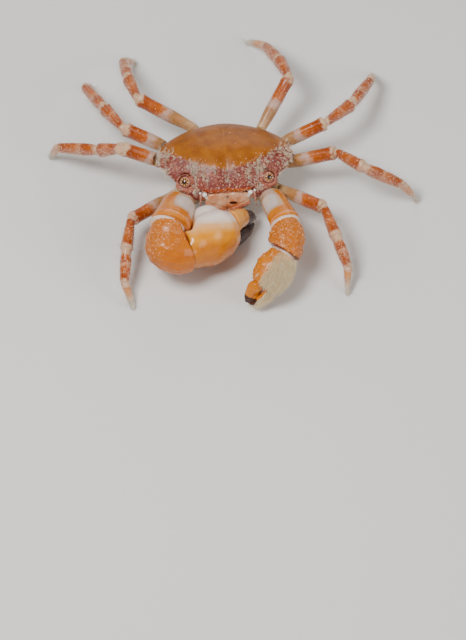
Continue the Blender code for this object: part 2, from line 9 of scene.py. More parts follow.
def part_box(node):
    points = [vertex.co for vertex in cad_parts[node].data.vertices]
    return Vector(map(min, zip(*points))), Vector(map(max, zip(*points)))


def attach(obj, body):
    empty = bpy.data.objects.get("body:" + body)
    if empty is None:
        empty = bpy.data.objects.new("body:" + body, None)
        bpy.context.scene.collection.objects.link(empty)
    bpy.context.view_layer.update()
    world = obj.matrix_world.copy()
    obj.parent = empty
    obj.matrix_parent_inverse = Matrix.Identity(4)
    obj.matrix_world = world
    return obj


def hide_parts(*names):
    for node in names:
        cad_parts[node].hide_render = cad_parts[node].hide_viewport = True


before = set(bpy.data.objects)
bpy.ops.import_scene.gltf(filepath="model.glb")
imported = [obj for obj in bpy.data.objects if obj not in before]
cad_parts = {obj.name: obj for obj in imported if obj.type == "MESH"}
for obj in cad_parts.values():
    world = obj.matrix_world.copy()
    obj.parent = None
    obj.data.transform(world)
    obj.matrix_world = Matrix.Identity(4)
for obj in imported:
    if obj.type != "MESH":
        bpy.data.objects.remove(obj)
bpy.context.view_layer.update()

# The carapace is one hard dome, orange-brown behind and granular, pink-purple and tufted in front,
# with a thick two-lobed lip, an orbit round each eye and rounded cheeks below. Its skin is fused
# over the solid in millimetres. Places on it are given in the body's own axes: x to the crab's left,
# y to its rear, z up from the middle of the dome.
MM = 0.001
SIDES = {"right": -1, "left": 1}
EYE_FROM_MIDDLE = Vector((4.298, -3.808, -0.7))
NOSE_UP = math.radians(16)
body_turn = Matrix.Rotation(-NOSE_UP, 3, "X")
eye_middles = {side: sum(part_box(f"eye_{side}"), Vector()) / 2 / MM for side in SIDES}
between_eyes = (eye_middles["right"] + eye_middles["left"]) / 2
body_middle = between_eyes - body_turn @ Vector((0, EYE_FROM_MIDDLE.y, EYE_FROM_MIDDLE.z))
TURN = np.array(body_turn)
MIDDLE = np.array(body_middle)


def in_body(places):
    """Places on the floor's axes, given in the body's."""
    return (places - MIDDLE) @ TURN


def on_floor(places):
    """Places in the body's axes, given on the floor's."""
    return np.asarray(places, float) @ TURN.T + MIDDLE


def step(low, high, values):
    """0 below low, 1 above high, and an even S between them."""
    share = np.clip((values - low) / (high - low), 0, 1)
    return share * share * (3 - 2 * share)


def hump(values, middle, width):
    """1 at the middle and fading out about a width away from it."""
    return np.exp(-(((values - middle) / width) ** 2))


def cad_copy(*nodes):
    """The named solids as one bmesh in millimetres, with their loose triangles merged."""
    bm = bmesh.new()
    for node in nodes:
        bm.from_mesh(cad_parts[node].data)
    bmesh.ops.remove_doubles(bm, verts=bm.verts, dist=1e-7)
    bmesh.ops.scale(bm, verts=bm.verts, vec=(1 / MM, 1 / MM, 1 / MM))
    return bm


def fused(bm, voxel, ease, halved=0):
    """One closed skin over all that the bmesh holds, eased so that no facet or seam shows."""
    mesh = bpy.data.meshes.new("core")
    bm.to_mesh(mesh)
    bm.free()
    core = bpy.data.objects.new("core", mesh)
    bpy.context.scene.collection.objects.link(core)
    remesh = core.modifiers.new("skin", "REMESH")
    remesh.mode = "VOXEL"
    remesh.voxel_size = voxel
    easing = core.modifiers.new("ease", "SMOOTH")
    easing.factor = 0.5
    easing.iterations = ease
    if halved:
        finer = core.modifiers.new("finer", "SUBSURF")
        finer.levels = halved
        finer.render_levels = halved
    bpy.context.view_layer.update()
    shown = core.evaluated_get(bpy.context.evaluated_depsgraph_get())
    made = bmesh.new()
    made.from_mesh(shown.to_mesh())
    bpy.data.objects.remove(core)
    bmesh.ops.recalc_face_normals(made, faces=made.faces)
    return made


def places_of(bm):
    return np.array([vertex.co for vertex in bm.verts], float)


def normals_of(bm):
    bm.normal_update()
    return np.array([vertex.normal for vertex in bm.verts], float)


def move_out(bm, distance):
    """Moves each point of the skin along its normal by its own distance."""
    moved = places_of(bm) + normals_of(bm) * np.asarray(distance).reshape(-1, 1)
    for vertex, place in zip(bm.verts, moved):
        vertex.co = place


class Wire:
    """A value in a material, on which sums are written as in Python."""

    def __init__(self, socket):
        self.socket = socket

    def reckon(self, operation, first, second, clamp=False):
        tree = self.socket.id_data
        node = tree.nodes.new("ShaderNodeMath")
        node.operation = operation
        node.use_clamp = clamp
        for value, socket in zip((first, second), node.inputs):
            if isinstance(value, Wire):
                tree.links.new(value.socket, socket)
            else:
                socket.default_value = value
        return Wire(node.outputs[0])

    def __add__(self, other):
        return self.reckon("ADD", self, other)

    def __sub__(self, other):
        return self.reckon("SUBTRACT", self, other)

    def __rsub__(self, other):
        return self.reckon("SUBTRACT", other, self)

    def __mul__(self, other):
        return self.reckon("MULTIPLY", self, other)

    def __truediv__(self, other):
        return self.reckon("DIVIDE", self, other)

    __radd__ = __add__
    __rmul__ = __mul__

    def between(self, low, high):
        """0 at low and 1 at high, and no further."""
        return self.reckon("DIVIDE", self - low, high - low, clamp=True)


class Finish:
    """One material: its shader, and one way to add any other node."""

    def __init__(self, name, **plain):
        self.material = bpy.data.materials.new(name)
        self.material.use_nodes = True
        self.tree = self.material.node_tree
        self.shader = self.tree.nodes["Principled BSDF"]
        for socket, value in plain.items():
            self.shader.inputs[socket.replace("_", " ")].default_value = value
        self.place = self.node("ShaderNodeTexCoord", {}, {}, "Object")

    def node(self, kind, settings, inputs, output=0):
        """Adds a node, its settings first and then the value or wire of each socket."""
        made = self.tree.nodes.new(kind)
        for setting, value in settings.items():
            if setting == "stops":
                ramp = made.color_ramp
                for at, colour in value[1:-1]:
                    ramp.elements.new(at)
                for element, (at, colour) in zip(ramp.elements, value):
                    element.position = at
                    element.color = (*colour, 1)
            else:
                setattr(made, setting, value)
        for socket, value in inputs.items():
            self.join(value, made.inputs[socket])
        return Wire(made.outputs[output])

    def join(self, value, socket):
        if isinstance(value, Wire):
            self.tree.links.new(value.socket, socket)
        elif isinstance(value, tuple):
            socket.default_value = (*value, 1)
        else:
            socket.default_value = value

    def mask(self, name):
        """A number kept on the mesh's points."""
        return self.node("ShaderNodeAttribute", {"attribute_name": name}, {}, "Fac")

    def noise(self, per_mm, detail=3.0):
        sockets = {"Vector": self.place, "Scale": per_mm / MM, "Detail": detail}
        return self.node("ShaderNodeTexNoise", {}, sockets, 0)

    def cells(self, per_mm):
        """Distance from the nearest of many strewn points, low on the points."""
        sockets = {"Vector": self.place, "Scale": per_mm / MM}
        return self.node("ShaderNodeTexVoronoi", {"feature": "F1"}, sockets, "Distance")

    def blend(self, share, first, second):
        """The first colour, giving way to the second as the share grows."""
        return self.node("ShaderNodeMix", {"data_type": "RGBA"}, {0: share, 6: first, 7: second}, 2)

    def feed(self, socket, value):
        self.join(value, self.shader.inputs[socket])

    def paint(self, colour, depth=1.4):
        """Colours the surface, the tones deepened because soft light pales them."""
        self.feed("Base Color", self.node("ShaderNodeGamma", {}, {"Color": colour, "Gamma": depth}))

    def emboss(self, heights):
        """Raises the surface by heights in millimetres."""
        bump = self.node("ShaderNodeBump", {}, {"Height": heights, "Distance": MM, "Strength": 1.0})
        self.feed("Normal", bump)


def shell_finish(name, ground, layers, gloss=0.3, grain=None, coat=0.3, freckle=0.12, bare=None):
    """Shell coloured in layers, each shown where its mask on the mesh is high.

    The ground and each layer have two tones that mottle each other. grain is the mask under which
    the surface is beset with fine grains, their number per millimetre and their height. bare is
    the mask under which the shell has no clear coat.
    """
    made = Finish(
        name, Coat_Weight=coat, Coat_Roughness=0.12, Specular_IOR_Level=0.3, Subsurface_Weight=0.12,
        Subsurface_Scale=0.0004,
    )
    clouds = made.noise(0.9, 4.0).between(0.35, 0.65)
    fibres = made.noise(5.0, 3.0)
    colour = made.blend(clouds, *ground)
    rough = made.noise(3.0) * 0.2 + (gloss - 0.1)
    for mask, tones, fray, layer_gloss in layers:
        share = (made.mask(mask) + (fibres - 0.5) * fray).between(0.3, 0.7)
        colour = made.blend(share, colour, made.blend(clouds, *tones))
        rough = rough + share * (layer_gloss - gloss)
    specks = (1 - made.cells(4.5) * 2.6).between(0.25, 0.6) * freckle
    colour = made.blend(specks, colour, (0.85, 0.62, 0.42))
    heights = made.noise(9.0, 2.0) * 0.012
    if grain:
        mask, per_mm, height = grain
        beads = (1 - made.cells(per_mm) * 1.7).between(0.0, 0.9) * made.mask(mask)
        heights = heights + beads * height
        # Each grain is painted paler towards its top: partly the grains' own pale tone, partly a painted
        # highlight.
        colour = made.blend(beads * 0.3, colour, (0.9, 0.6, 0.4))
    if bare:
        made.feed("Coat Weight", (1 - made.mask(bare)) * coat)
    made.paint(colour)
    made.feed("Roughness", rough)
    made.emboss(heights)
    return made.material


def set_piece(name, bm, finish, nodes=(), masks=None):
    """Makes a finished piece of a bmesh in millimetres, which rides on the still body."""
    bmesh.ops.scale(bm, verts=bm.verts, vec=(MM, MM, MM))
    mesh = bpy.data.meshes.new(name)
    bm.to_mesh(mesh)
    bm.free()
    mesh.shade_smooth()
    for mask, values in (masks or {}).items():
        mesh.attributes.new(mask, "FLOAT", "POINT").data.foreach_set("value", np.asarray(values, np.float32))
    mesh.materials.append(finish)
    made = bpy.data.objects.new(name, mesh)
    bpy.context.scene.collection.objects.link(made)
    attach(made, "root")
    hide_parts(*nodes)
    return made


EYE_LOOKS = Vector((0.24, -0.76, 0.6)).normalized()


def eye_look(side):
    """The way an eye looks, on the floor's axes."""
    return body_turn @ Vector((EYE_LOOKS.x * side, EYE_LOOKS.y, EYE_LOOKS.z))


def add_lump(bm, place, radii):
    """Adds an egg-shaped body, placed and sized in the body's axes."""
    made = bmesh.ops.create_icosphere(bm, subdivisions=4, radius=1)
    bmesh.ops.scale(bm, verts=made["verts"], vec=radii)
    matrix = Matrix.Translation(on_floor(place)) @ body_turn.to_4x4()
    bmesh.ops.transform(bm, verts=made["verts"], matrix=matrix)


def add_ring(bm, middle, axis, reach, thickness):
    """Adds a round ring about an axis, spun from one round section of it."""
    aside = axis.orthogonal().normalized()
    made = bmesh.ops.create_circle(bm, segments=12, radius=thickness)
    stand = Matrix((aside, axis, aside.cross(axis))).transposed().to_4x4()
    matrix = Matrix.Translation(middle + aside * reach) @ stand
    bmesh.ops.transform(bm, verts=made["verts"], matrix=matrix)
    section = made["verts"] + list({edge for vertex in made["verts"] for edge in vertex.link_edges})
    bmesh.ops.spin(bm, geom=section, cent=middle, axis=axis, angle=math.tau, steps=36, use_merge=True)


def rim_level(y):
    """Height of the carapace's edge, which drops towards the front."""
    return -1.05 * step(1.5, 4.7, -y) - 0.15 * step(1.0, 4.7, y)


def pink_edge(wide):
    """How far back the pink front reaches, at a distance from the midline."""
    return -3.65 + 0.083 * wide**2


# Cheeks, lip and side corner of one side: the middle and the half sizes of each lump.
SIDE_LUMPS = (
    ((4.55, -3.75, -1.35), (0.75, 0.6, 0.6)),
    ((3.9, -4.05, -1.75), (0.8, 0.6, 0.65)),
    ((3.2, -4.25, -2.1), (0.75, 0.55, 0.65)),
    ((2.6, -4.35, -2.3), (0.6, 0.45, 0.55)),
    ((3.1, -4.1, -1.2), (0.6, 0.5, 0.35)),
    ((1.28, -4.62, -1.27), (1.38, 0.42, 0.38)),
    ((6.85, -0.2, -0.85), (0.5, 0.65, 0.4)),
)
FACE_LUMP = ((0, -4.2, -1.85), (2.2, 0.45, 0.5))
ORBIT_AHEAD, ORBIT_RADIUS, ORBIT_THICKNESS = 0.24, 0.75, 0.11
shell = cad_copy("carapace")
for side_name, side in SIDES.items():
    look = eye_look(side)
    add_ring(shell, eye_middles[side_name] + look * ORBIT_AHEAD, look, ORBIT_RADIUS, ORBIT_THICKNESS)
    for (aside, depth, level), half in SIDE_LUMPS:
        add_lump(shell, (side * aside, depth, level), half)
add_lump(shell, *FACE_LUMP)
shell = fused(shell, voxel=0.15, ease=4, halved=1)
x, y, z = in_body(places_of(shell)).T
wide = np.abs(x)
above_rim = z - rim_level(y)
top = step(-0.1, 0.25, above_rim)
# Low swellings of the front: how far aside and to the rear, radius and height.
SWELLINGS = (
    (1.0, -3.3, 0.55, 0.1),
    (2.3, -2.9, 0.6, 0.12),
    (3.6, -2.3, 0.7, 0.1),
    (4.9, -1.5, 0.7, 0.1),
    (6.0, -0.6, 0.5, 0.1),
    (1.9, -1.6, 0.8, 0.06),
)
relief = np.zeros(len(x))
for at_x, at_y, radius, height in SWELLINGS:
    relief += height * np.exp(-(((wide - at_x) ** 2 + (y - at_y) ** 2) / radius**2)) * top
relief -= 0.06 * hump(x, 0, 0.35) * step(-2.4, -3.6, y) * top
relief -= 0.03 * hump(np.hypot(wide - 1.4, (y - 1.2) * 0.9), 1.15, 0.22) * step(0.2, 1.0, y) * top
FAR = 9.0
from_eye = np.full(len(x), FAR)
for side in (1, -1):
    eye = np.array((EYE_FROM_MIDDLE.x * side, EYE_FROM_MIDDLE.y, EYE_FROM_MIDDLE.z))
    look = np.array((EYE_LOOKS.x * side, EYE_LOOKS.y, EYE_LOOKS.z))
    away = np.column_stack((x, y, z)) - eye
    off_axis = np.linalg.norm(away - np.outer(away @ look, look), axis=1)
    from_eye = np.minimum(from_eye, np.where(away @ look > -0.2, off_axis, FAR))
orbit = hump(from_eye, 0.82, 0.12)
cheek_ridge = hump(above_rim, -0.32, 0.16) * step(2.6, 3.2, wide) * step(-0.5, -1.5, y)
relief += 0.09 * cheek_ridge
move_out(shell, relief)
lip_height = step(0.1, -0.12, above_rim) * step(-0.62, -0.45, above_rim)
shell_masks = {
    "front": step(-0.35, 0.35, pink_edge(wide) - y) * step(-2.3, -1.8, above_rim),
    "face": step(-0.45, -0.65, above_rim) * step(-3.3, -3.7, y) * step(2.9, 2.5, wide),
    "lip": step(2.8, 2.5, wide) * step(-4.35, -4.6, y) * lip_height,
    "ridges": np.clip(orbit + cheek_ridge, 0, 1),
    "belly": step(-1.2, -2.3, z + 0.12 * (y + 4)) * step(-4.1, -2.8, y),
    "seam": 0.55 * hump(x, 0, 0.16) * step(-3.4, -2.0, y) * step(3.2, 1.5, y) * top,
    "rear": step(2.6, 4.4, y),
    # Painted shade: the recess under the lip and behind the jaw feet is darkened.
    "hollow": step(-3.0, -3.5, y) * step(2.2, 2.0, wide) * step(-2.2, -2.4, z),
}
hard_shell = shell_finish(
    "crab_shell",
    ((0.37, 0.14, 0.0), (0.48, 0.2, 0.0)),
    (
        ("rear", ((0.46, 0.18, 0.01), (0.42, 0.14, 0.004)), 0.3, 0.44),
        ("seam", ((0.54, 0.25, 0.04), (0.48, 0.2, 0.015)), 0.5, 0.44),
        ("front", ((0.25, 0.055, 0.045), (0.36, 0.12, 0.1)), 0.5, 0.45),
        ("belly", ((0.62, 0.47, 0.27), (0.55, 0.36, 0.16)), 0.3, 0.4),
        ("face", ((0.6, 0.36, 0.26), (0.5, 0.2, 0.1)), 0.6, 0.4),
        ("ridges", ((0.42, 0.14, 0.1), (0.56, 0.28, 0.2)), 0.5, 0.35),
        ("lip", ((0.5, 0.14, 0.02), (0.4, 0.08, 0.03)), 0.5, 0.2),
        # Painted shade in the recess under the lip.
        ("hollow", ((0.2, 0.07, 0.03), (0.3, 0.12, 0.05)), 0.2, 0.4),
    ),
    gloss=0.44,
    grain=("front", 3.2, 0.05),
    coat=0.12,
)
carapace = set_piece("carapace_shell", shell, hard_shell, ["carapace"], shell_masks)


# Grains and hairs of the carapace: pink beads strewn over the front, and short cream hairs in tufts
# that stand up and bow forward, thickest in rows between the eyes and thick at the side corners.
# Each hair is a thin three-sided cone with a patch of its own on an unwrap of the shell.
def strewn(piece, count, chance, seed):
    """Places in millimetres and their normals, strewn over a piece as thickly as chance says."""
    mesh = piece.data
    mesh.calc_loop_triangles()
    corners = np.empty(len(mesh.loop_triangles) * 3, int)
    mesh.loop_triangles.foreach_get("vertices", corners)
    corners = corners.reshape(-1, 3)
    points = np.empty(len(mesh.vertices) * 3)
    mesh.vertices.foreach_get("co", points)
    points = points.reshape(-1, 3) / MM
    turns = np.empty(len(mesh.vertices) * 3)
    mesh.vertex_normals.foreach_get("vector", turns)
    turns = turns.reshape(-1, 3)
    first, second, third = (points[corners[:, corner]] for corner in range(3))
    area = np.linalg.norm(np.cross(second - first, third - first), axis=1)
    weight = area * np.clip(chance((first + second + third) / 3, turns[corners[:, 0]]), 0, None)
    draw = np.random.default_rng(seed)
    chosen = draw.choice(len(area), size=count, p=weight / weight.sum())
    across, along = draw.random(count), draw.random(count)
    folded = across + along > 1
    across[folded], along[folded] = 1 - across[folded], 1 - along[folded]
    across, along = across[:, None], along[:, None]
    spots = first[chosen] * (1 - across - along) + second[chosen] * across + third[chosen] * along
    return spots, turns[corners[chosen, 0]]


def unit(vectors):
    return vectors / np.maximum(np.linalg.norm(vectors, axis=-1, keepdims=True), 1e-9)


def joined_copies(name, template, places_of_copies, finish, slot, patches=None, patch_of=None):
    """One piece of many copies of a small shape, given the places of each copy's points."""
    faces = [[vertex.index for vertex in face.verts] for face in template.faces]
    count, points = places_of_copies.shape[:2]
    sizes = np.tile([len(face) for face in faces], count)
    corners = (np.concatenate(faces)[None, :] + np.arange(count)[:, None] * points).ravel()
    mesh = bpy.data.meshes.new(name)
    mesh.vertices.add(count * points)
    mesh.vertices.foreach_set("co", (places_of_copies * MM).ravel())
    mesh.loops.add(len(corners))
    mesh.loops.foreach_set("vertex_index", corners)
    mesh.polygons.add(len(sizes))
    mesh.polygons.foreach_set("loop_start", np.concatenate(([0], np.cumsum(sizes)[:-1])))
    mesh.update(calc_edges=True)
    mesh.validate()
    mesh.shade_smooth()
    if patches is not None:
        layer = mesh.uv_layers.new(name="OFBake")
        flat = (patches[:, None, :] + patch_of[None, :, :]).reshape(-1, 2)
        layer.data.foreach_set("uv", flat[corners].ravel())
    mesh.materials.append(finish)
    made = bpy.data.objects.new(name, mesh)
    bpy.context.scene.collection.objects.link(made)
    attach(made, "root")
    return made


HAIR_STEPS = 3
hair = bmesh.new()
bmesh.ops.create_cone(hair, cap_ends=True, segments=3, radius1=1, radius2=0, depth=1)
bmesh.ops.translate(hair, verts=hair.verts, vec=(0, 0, 0.5))
slopes = [edge for edge in hair.edges if abs(edge.verts[0].co.z - edge.verts[1].co.z) > 0.5]
bmesh.ops.subdivide_edges(hair, edges=slopes, cuts=HAIR_STEPS - 1, use_grid_fill=True)
bmesh.ops.triangulate(hair, faces=hair.faces)
bmesh.ops.remove_doubles(hair, verts=hair.verts, dist=1e-5)
hair.verts.index_update()
HAIR = places_of(hair)
PATCH_SIZE = 0.003
PATCH = np.column_stack((np.arctan2(HAIR[:, 1], HAIR[:, 0]) / math.tau + 0.5, HAIR[:, 2])) * PATCH_SIZE
# How deep a hair is rooted, how near its middle line comes to the floor, and a small slant that
# keeps a hair which bows straight on from losing its sideways direction.
ROOT_SINK = 0.03
LEAST_HEIGHT = 0.05
SLANT = np.array((0.013, 0.017, 0.011))


def hairs(name, roots, ways, bows, lengths, radius, finish, patches):
    """Hairs from their roots along their ways, each bowed over by its own bow as it rises.

    A hair that would run into the floor lies along it instead.
    """
    ways = unit(ways)
    aside = unit(np.cross(ways, bows + SLANT))
    other = np.cross(ways, aside)
    rise = HAIR[None, :, 2:3]
    swell = (1 - rise) ** 0.5
    ring = aside[:, None, :] * HAIR[None, :, 0:1] + other[:, None, :] * HAIR[None, :, 1:2]
    middle = ways[:, None, :] * rise + bows[:, None, :] * rise**2
    thickness = (radius * np.ones(len(roots)))[:, None, None]
    middle = roots[:, None, :] + middle * lengths[:, None, None]
    middle[..., 2] = np.maximum(middle[..., 2], LEAST_HEIGHT)
    points = middle + ring * swell * thickness
    return joined_copies(name, hair, points, finish, "limb", patches, PATCH)


def in_tufts(spots, turns, each, spread, seed):
    """Each place repeated for the hairs of one tuft, a little way round it, with a lean of its own."""
    draw = np.random.default_rng(seed)
    roots = np.repeat(spots, each, axis=0) + draw.normal(0, spread, (len(spots) * each, 3))
    leans = np.repeat(draw.normal(0, 0.35, (len(spots), 3)), each, axis=0)
    leans += draw.normal(0, 0.2, leans.shape)
    turns = np.repeat(turns, each, axis=0)
    off_surface = np.sum((roots - np.repeat(spots, each, axis=0)) * turns, axis=1, keepdims=True)
    roots -= turns * (off_surface + ROOT_SINK)
    return roots, turns, leans


def hair_finish(name, low_tone, high_tone):
    """Thin horny hair, whose tone differs from place to place."""
    made = Finish(name, Subsurface_Weight=0.2, Subsurface_Scale=0.0003, Roughness=0.45)
    clouds = made.noise(2.2, 2.0).between(0.35, 0.65)
    fine = made.noise(14.0, 1.0).between(0.3, 0.7)
    colour = made.blend(clouds, low_tone, high_tone)
    made.feed("Base Color", made.blend(fine * 0.25, colour, (0.97, 0.9, 0.74)))
    made.emboss(made.noise(30.0) * 0.004)
    return made.material


SHELL_HALF_SIZES = np.array((7.0, 4.7, 3.0))


def shell_patches(spots):
    """An unwrap of the whole body from its top pole outwards, for the coat's own patches."""
    away = unit(in_body(spots) / SHELL_HALF_SIZES)
    turn = np.arctan2(away[:, 1], away[:, 0])
    reach = np.arccos(np.clip(away[:, 2], -1, 1)) / math.pi * 0.48
    return 0.5 + np.column_stack((np.cos(turn), np.sin(turn))) * reach[:, None]


cream_hair = hair_finish("cream_hair", (1.0, 0.72, 0.5), (1.0, 0.86, 0.66))


def eye_clear(spots):
    """0 over the eyes, so that nothing grows over them."""
    away = np.full(len(spots), FAR)
    for side_name, side in SIDES.items():
        look = np.array(eye_look(side))
        reach = spots - np.array(eye_middles[side_name])
        off_axis = np.linalg.norm(reach - np.outer(reach @ look, look), axis=1)
        away = np.minimum(away, off_axis)
    return step(0.85, 1.15, away)


def shell_tuft_chance(spots, turns):
    x, y, z = in_body(spots).T
    wide = np.abs(x)
    above = z - rim_level(y)
    edge = pink_edge(wide)
    front = step(-0.2, 0.5, edge + 0.15 - y) * step(-0.9, -0.3, above)
    rows = hump(x, 0, 0.14) + hump(wide, 2.25, 0.25) + 0.8 * hump(wide, 3.4, 0.3)
    corners = step(5.2, 6.3, wide) * step(0.6, -0.4, y) * step(-0.4, 0.0, above) * 0.8
    band = hump(y - (edge - 0.2), 0, 0.45)
    clear_lip = step(-4.75, -4.45, y) + step(2.7, 3.1, wide)
    return (front * (0.07 + 2.4 * rows + 0.45 * band) + corners) * clear_lip * eye_clear(spots)


TUFTS, TUFT_HAIRS, TUFT_SPREAD = 560, 9, 0.045
SHELL_HAIR_RADIUS = 0.018
spots, turns = strewn(carapace, TUFTS, shell_tuft_chance, seed=3)
roots, turns, leans = in_tufts(spots, turns, TUFT_HAIRS, TUFT_SPREAD, seed=4)
forward = np.array(body_turn @ Vector((0, -1, 0.1)))
draw = np.random.default_rng(5)
lengths = draw.uniform(0.25, 0.55, len(roots))
hairs(
    "carapace_tufts", roots, turns + forward * 0.35 + leans, forward * 0.35 + leans * 0.5, lengths,
    SHELL_HAIR_RADIUS, cream_hair, shell_patches(roots),
)


def shell_edge_chance(spots, turns):
    x, y, z = in_body(spots).T
    above = z - rim_level(y)
    edge = hump(above, 0.0, 0.2)
    return edge * (0.15 + step(5.2, 6.5, np.abs(x)) * 1.5 + 0.25 * step(3.5, 4.3, y)) * step(-2.5, -0.5, y)


EDGE_HAIRS = 170
spots, turns = strewn(carapace, EDGE_HAIRS, shell_edge_chance, seed=6)
leans = draw.normal(0, 0.25, spots.shape)
upward = np.array((0.0, 0.0, 1.0))
hairs(
    "carapace_edge_hairs", spots, turns + upward * 0.7 + leans, leans * 0.5 + upward * 0.1,
    draw.uniform(0.35, 0.85, len(spots)), SHELL_HAIR_RADIUS, cream_hair, shell_patches(spots),
)

bead = bmesh.new()
bmesh.ops.create_icosphere(bead, subdivisions=1, radius=1)
bead.verts.index_update()
BEAD = places_of(bead)


def beads(name, spots, radii, finish, slot):
    """Small round grains, half sunk where they stand."""
    points = spots[:, None, :] + BEAD[None, :, :] * radii[:, None, None]
    return joined_copies(name, bead, points, finish, slot)


def grain_finish(name, low_tone, high_tone, gloss=0.3):
    made = Finish(name, Coat_Weight=0.3, Subsurface_Weight=0.1, Subsurface_Scale=0.0003)
    made.paint(made.blend(made.noise(2.5, 2.0).between(0.35, 0.65), low_tone, high_tone), 1.2)
    made.feed("Roughness", made.noise(8.0) * 0.2 + (gloss - 0.1))
    made.emboss(made.noise(20.0) * 0.004)
    return made.material


def shell_grain_chance(spots, turns):
    x, y, z = in_body(spots).T
    above = z - rim_level(y)
    grained = step(-0.9, 0.4, pink_edge(np.abs(x)) - y) * step(-1.3, -0.1, above) * step(-2.6, -1.6, z)
    return (grained + 0.004) * eye_clear(spots)


SHELL_GRAINS = 650
pink_grain = grain_finish("pink_grain", (0.56, 0.24, 0.16), (0.78, 0.5, 0.34))
spots, turns = strewn(carapace, SHELL_GRAINS, shell_grain_chance, seed=7)
beads("carapace_grains", spots, draw.uniform(0.035, 0.085, len(spots)), pink_grain, "shell")


# Each lower orbit ends beside the mouth in one big round knob, white and shiny as glaze, with two
# smaller ones by it.
def add_ball(bm, place, radius, subdivisions=4):
    made = bmesh.ops.create_icosphere(bm, subdivisions=subdivisions, radius=radius)
    bmesh.ops.translate(bm, verts=made["verts"], vec=place)


white_glaze = grain_finish("white_glaze", (0.82, 0.75, 0.7), (0.92, 0.88, 0.84), gloss=0.18)
KNOBS = (((2.38, -4.78, -1.78), 0.27), ((2.2, -4.75, -2.2), 0.17), ((2.85, -4.72, -1.6), 0.14))
knobs = bmesh.new()
for side in (1, -1):
    for (aside, depth, level), radius in KNOBS:
        add_ball(knobs, on_floor((side * aside, depth, level)), radius, 3)
set_piece("orbit_knobs", knobs, white_glaze)


# The eyes are short and sit deep in their orbits: a pinkish ball with a dark pupil-like spot that a
# ring of golden beads surrounds, on a stout stalk that runs inwards.
def eye_finish():
    made = Finish("eye_cornea", Coat_Weight=0.9, Coat_Roughness=0.04)
    facing = made.mask("facing")
    mottle = made.noise(6.0).between(0.4, 0.6)
    skin = made.blend(mottle, (0.33, 0.1, 0.07), (0.5, 0.24, 0.17))
    dark = (facing + (made.noise(9.0) - 0.5) * 0.04).between(0.72, 0.78)
    colour = made.blend(dark, skin, (0.14, 0.045, 0.012))
    colour = made.blend(facing.between(0.955, 0.975), colour, (0.006, 0.003, 0.002))
    rim = facing.between(0.6, 0.66) * (1 - facing.between(0.7, 0.74))
    colour = made.blend(rim, colour, (0.6, 0.37, 0.25))
    made.paint(colour, 1.25)
    made.feed("Roughness", made.noise(12.0) * 0.1 + 0.12)
    made.emboss(made.noise(25.0) * 0.003)
    return made.material


cornea = eye_finish()
golden = grain_finish("golden_bead", (0.78, 0.4, 0.1), (0.9, 0.58, 0.24), gloss=0.15)
EYE_RADIUS = 0.64
RING_BEADS, RING_BEAD_RADIUS, RING_SPREAD, RING_FROM_MIDDLE = 8, 0.085, 0.62, 0.62
for side_name, side in SIDES.items():
    look = eye_look(side)
    middle = eye_middles[side_name]
    ball = bmesh.new()
    bmesh.ops.create_uvsphere(ball, u_segments=48, v_segments=32, radius=EYE_RADIUS)
    bmesh.ops.translate(ball, verts=ball.verts, vec=middle)
    stalk = bmesh.ops.create_cone(ball, cap_ends=True, segments=24, radius1=0.5, radius2=0.62, depth=1.3)
    inward = body_turn @ Vector((-side * 0.9, 0.45, -0.1))
    turn = inward.to_track_quat("-Z", "Y").to_matrix().to_4x4()
    bmesh.ops.transform(ball, verts=stalk["verts"], matrix=Matrix.Translation(middle + inward * 0.55) @ turn)
    facing = np.array([(vertex.co - middle).normalized().dot(look) for vertex in ball.verts])
    set_piece(f"eye_{side_name}_ball", ball, cornea, [f"eye_{side_name}"], {"facing": facing})
    ring = bmesh.new()
    across = look.cross(Vector((0, 0, 1))).normalized()
    for number in range(RING_BEADS):
        angle = math.tau * (number + 0.3) / RING_BEADS
        around = across * math.cos(angle) + look.cross(across) * math.sin(angle)
        way = (look + around * RING_SPREAD).normalized()
        add_ball(ring, middle + way * RING_FROM_MIDDLE, RING_BEAD_RADIUS, 2)
    set_piece(f"eye_{side_name}_golden_ring", ring, golden)


# The mouth is closed by a pair of jaw feet, each a square plate with grooves and a toothed lower
# edge; the dark hole on the left one is painted shade of an opening. Beside them stand the short feelers.
jaw_finish = shell_finish(
    "jaw_foot",
    ((0.76, 0.54, 0.38), (0.62, 0.26, 0.12)),
    (
        ("low", ((0.62, 0.52, 0.3), (0.55, 0.46, 0.25)), 0.3, 0.4),
        ("edge", ((0.66, 0.24, 0.12), (0.74, 0.4, 0.28)), 0.5, 0.35),
        # Painted shade of an opening in the left jaw foot.
        ("hole", ((0.03, 0.012, 0.008), (0.06, 0.025, 0.015)), 0.3, 0.5),
    ),
    gloss=0.3,
)
PLATE_LUMPS = (
    ((0.72, -4.72, -3.15), (0.86, 0.34, 1.1)),
    ((1.6, -4.7, -2.75), (0.78, 0.34, 0.95)),
    ((1.1, -4.62, -2.1), (1.2, 0.3, 0.4)),
)
EDGE_FROM, EDGE_TO, EDGE_LOBES = (0.12, -4.15), (2.25, -3.15), 11
# Where the painted shade of the hole lies on the left jaw foot, and its half sizes.
HOLE_AT, HOLE_HALF_SIZES = (0.58, -2.85), (0.42, 0.17)
